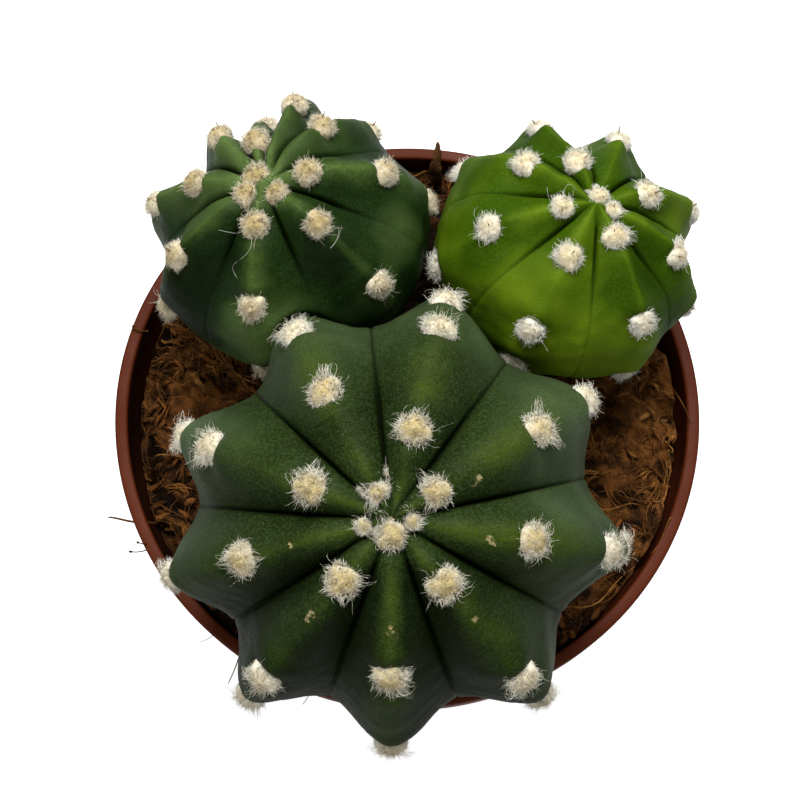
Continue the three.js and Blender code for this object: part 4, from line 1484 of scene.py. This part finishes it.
class CACTUS_OT_coir(bpy.types.Operator):
    """Fills the pot with coir and lays shreds and fibres on it"""
    bl_idname = "cactus.coir"
    bl_label = "Fill with Coir"

    def execute(self, context):
        settings = context.scene.cactus_coir
        colours = [tuple(settings.dark), tuple(settings.brown), tuple(settings.gold)]
        material = fibre_material("coir_fibre", *colours)
        body, shade = coir_surface()
        bed = put_piece("coir_bed", body, material, {"shade": shade})
        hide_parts("soil")
        counts = (settings.shreds, settings.bundles, settings.fibres, STRING_COUNT)
        rng = np.random.default_rng(41)
        for (name, kind), count in zip(STREWS.items(), counts):
            body, tone = strewn(rng, kind, count)
            put_piece(name, body, material, {"shade": tone})
        body, tone = loose_fibres()
        put_piece("rim_fibres", body, material, {"shade": tone})
        return {"FINISHED"}


class CACTUS_OT_stems(bpy.types.Operator):
    """Grows the three ribbed stems, each with its neck in the coir"""
    bl_idname = "cactus.stems"
    bl_label = "Grow Stems"

    def execute(self, context):
        settings = context.scene.cactus_skin
        for index, stem in enumerate(STEMS):
            parts = ("body", "shade", "streak", "old")
            colours = [tuple(getattr(settings, f"{stem.name}_{part}")) for part in parts]
            material = skin_material(f"skin_{stem.name}", *colours, FINISHES[stem.name])
            body, attributes = skin(stem, STEMS[:index], settings.crease_depth / MM)
            stub = neck(stem)
            own = {"crest": 0.4, "latitude": 0.9}
            attributes = {
                key: np.append(values, np.full(len(stub[0]), own.get(key, 0.0)))
                for key, values in attributes.items()}
            whole = join([body, stub])
            obj = put_piece(f"stem_{stem.name}", whole, material, attributes)
            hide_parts(f"cactus_{stem.name}")
        return {"FINISHED"}


class CACTUS_OT_wool(bpy.types.Operator):
    """Grows the wool of the areoles, with loose hairs and the short spines in it"""
    bl_idname = "cactus.wool"
    bl_label = "Grow Wool"

    def execute(self, context):
        settings = context.scene.cactus_wool
        wools = [wool_material(*WOOLS[stem.name]) for stem in STEMS]
        horn = spine_material()
        radius = settings.hair_radius / MM
        for index, (stem, material) in enumerate(zip(STEMS, wools)):
            rng = np.random.default_rng(61 + index)
            seats = seats_of(stem)
            fleece = FLEECES[stem.name]
            length = getattr(settings, f"{stem.name}_length") / MM
            wool = [cushion(*seat, fleece.high, rng) for seat in zip(*seats)]
            wool.append(nap(seats, settings.nap, fleece, radius, False, rng))
            wool.append(nap(seats, settings.curls, fleece, radius, True, rng))
            locks = [
                rim_hairs(seats, settings.rim, length, fleece.high, 0.65 * radius, rng),
                stray_hairs(seats, 2, 2.4, 0.6 * radius, rng)]
            if stem is FRONT:
                locks.append(crown_wool(120, 0.8 * radius, rng))
            for name, made in ((f"wool_{stem.name}", wool), (f"locks_{stem.name}", locks)):
                pale = np.concatenate([values for _, values in made])
                put_piece(name, join([body for body, _ in made]), material, {"pale": pale})
            if fleece.spines:
                body, along = spine_set(seats, fleece.spines, rng)
                put_piece(f"spines_{stem.name}", body, horn, {"along": along})
        body, pale = long_curls(0.6 * radius)
        put_piece("long_curls", body, wools[-1], {"pale": pale})
        return {"FINISHED"}


class CACTUS_OT_bark(bpy.types.Operator):
    """Stands the sliver of bark at the back of the coir"""
    bl_idname = "cactus.bark"
    bl_label = "Stand Bark Sliver"

    def execute(self, context):
        low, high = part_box("bark_sliver")
        body, ridge = sliver_shape(low[2] / MM, high[2] / MM)
        material = fibre_material("bark", *BARK)
        obj = put_piece("sliver", body, material, {"shade": 0.55 + 0.3 * ridge})
        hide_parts("bark_sliver")
        return {"FINISHED"}


def paper_floor(scene):
    """A wide floor of pale paper, which glows a little, and more where the camera sees it."""
    half = FLOOR_HALF
    corners = np.array([[-half, -half, 0], [half, -half, 0], [half, half, 0], [-half, half, 0]])
    material, tree, shader = new_material("floor_paper", Roughness=0.9)
    cloud, _ = clouds(tree, 12.0, 900.0)
    pale = blend_colours(tree, remap(tree, cloud, 0, 1, 0.0, 0.04), PAPER, PAPER_SHADE)
    tree.links.new(pale, shader.inputs["Base Color"])
    shader.inputs["Emission Color"].default_value = WHITE
    seen = tree.nodes.new("ShaderNodeLightPath").outputs["Is Camera Ray"]
    glow = arithmetic(tree, "ADD", times(tree, seen, 0.65), 0.15)
    tree.links.new(glow, shader.inputs["Emission Strength"])
    mesh = bpy.data.meshes.new("floor")
    mesh.from_pydata(corners * MM, [], [(0, 1, 2, 3)])
    mesh.materials.append(material)
    floor = bpy.data.objects.new("floor", mesh)
    scene.collection.objects.link(floor)


def set_camera(scene, aim, settings):
    """The camera, at its distance from the aim and at its angle above the horizon, in front of the plant."""
    back = Vector((0, -np.cos(settings.elevation), np.sin(settings.elevation)))
    camera = bpy.data.objects.new("camera", bpy.data.cameras.new("camera"))
    camera.data.lens = settings.lens
    camera.data.sensor_width = 36
    camera.data.clip_start = 0.01
    camera.location = aim + settings.distance * back
    camera.rotation_mode = "QUATERNION"
    camera.rotation_quaternion = (-back).to_track_quat("-Z", "Y")
    scene.collection.objects.link(camera)
    scene.camera = camera


def soft_light(scene, aim, name, place, size, power):
    """A round area light that points at the aim."""
    light = bpy.data.objects.new(name, bpy.data.lights.new(name, "AREA"))
    light.data.shape = "DISK"
    light.data.size = size
    light.data.energy = power
    light.location = place
    light.rotation_mode = "QUATERNION"
    light.rotation_quaternion = (aim - Vector(place)).to_track_quat("-Z", "Y")
    scene.collection.objects.link(light)


class CACTUS_OT_stage(bpy.types.Operator):
    """Sets the pale floor, the soft lights and the camera"""
    bl_idname = "cactus.stage"
    bl_label = "Set Stage"

    def execute(self, context):
        scene = context.scene
        settings = scene.cactus_stage
        aim = Vector(AIM) * MM
        paper_floor(scene)
        set_camera(scene, aim, settings)
        for light, power in zip(LIGHTS, (settings.overhead, settings.fill)):
            soft_light(scene, aim, *light, power)
        world = bpy.data.worlds.new("pale_surroundings")
        world.use_nodes = True
        backdrop = world.node_tree.nodes["Background"]
        backdrop.inputs["Color"].default_value = WHITE
        backdrop.inputs["Strength"].default_value = settings.sky
        scene.world = world
        scene.view_settings.view_transform = "Standard"
        return {"FINISHED"}


OPERATORS = (
    CACTUS_OT_pot, CACTUS_OT_coir, CACTUS_OT_stems, CACTUS_OT_wool, CACTUS_OT_bark, CACTUS_OT_stage)
SETTINGS = {
    "cactus_skin": SkinSettings,
    "cactus_wool": WoolSettings,
    "cactus_pot": PotSettings,
    "cactus_coir": CoirSettings,
    "cactus_stage": StageSettings,
}


class CACTUS_PT_panel(bpy.types.Panel):
    """Lists the steps that make the potted cactus, with their settings"""
    bl_label = "Potted Cactus"
    bl_idname = "CACTUS_PT_panel"
    bl_space_type = "VIEW_3D"
    bl_region_type = "UI"
    bl_category = "Cactus"

    def draw(self, context):
        for operator in OPERATORS:
            self.layout.operator(operator.bl_idname)
        for key, group in SETTINGS.items():
            box = self.layout.box()
            for name in group.__annotations__:
                box.prop(getattr(context.scene, key), name)


def register():
    for group in SETTINGS.values():
        bpy.utils.register_class(group)
    for key, group in SETTINGS.items():
        setattr(bpy.types.Scene, key, bpy.props.PointerProperty(type=group))
    for cls in (*OPERATORS, CACTUS_PT_panel):
        bpy.utils.register_class(cls)


def unregister():
    for cls in (CACTUS_PT_panel, *reversed(OPERATORS)):
        bpy.utils.unregister_class(cls)
    for key in SETTINGS:
        delattr(bpy.types.Scene, key)
    for group in SETTINGS.values():
        bpy.utils.unregister_class(group)


def main():
    """Makes every piece and the stage."""
    register()
    bpy.ops.cactus.pot()
    bpy.ops.cactus.coir()
    bpy.ops.cactus.stems()
    bpy.ops.cactus.wool()
    bpy.ops.cactus.bark()
    bpy.ops.cactus.stage()


if __name__ == "__main__":
    main()
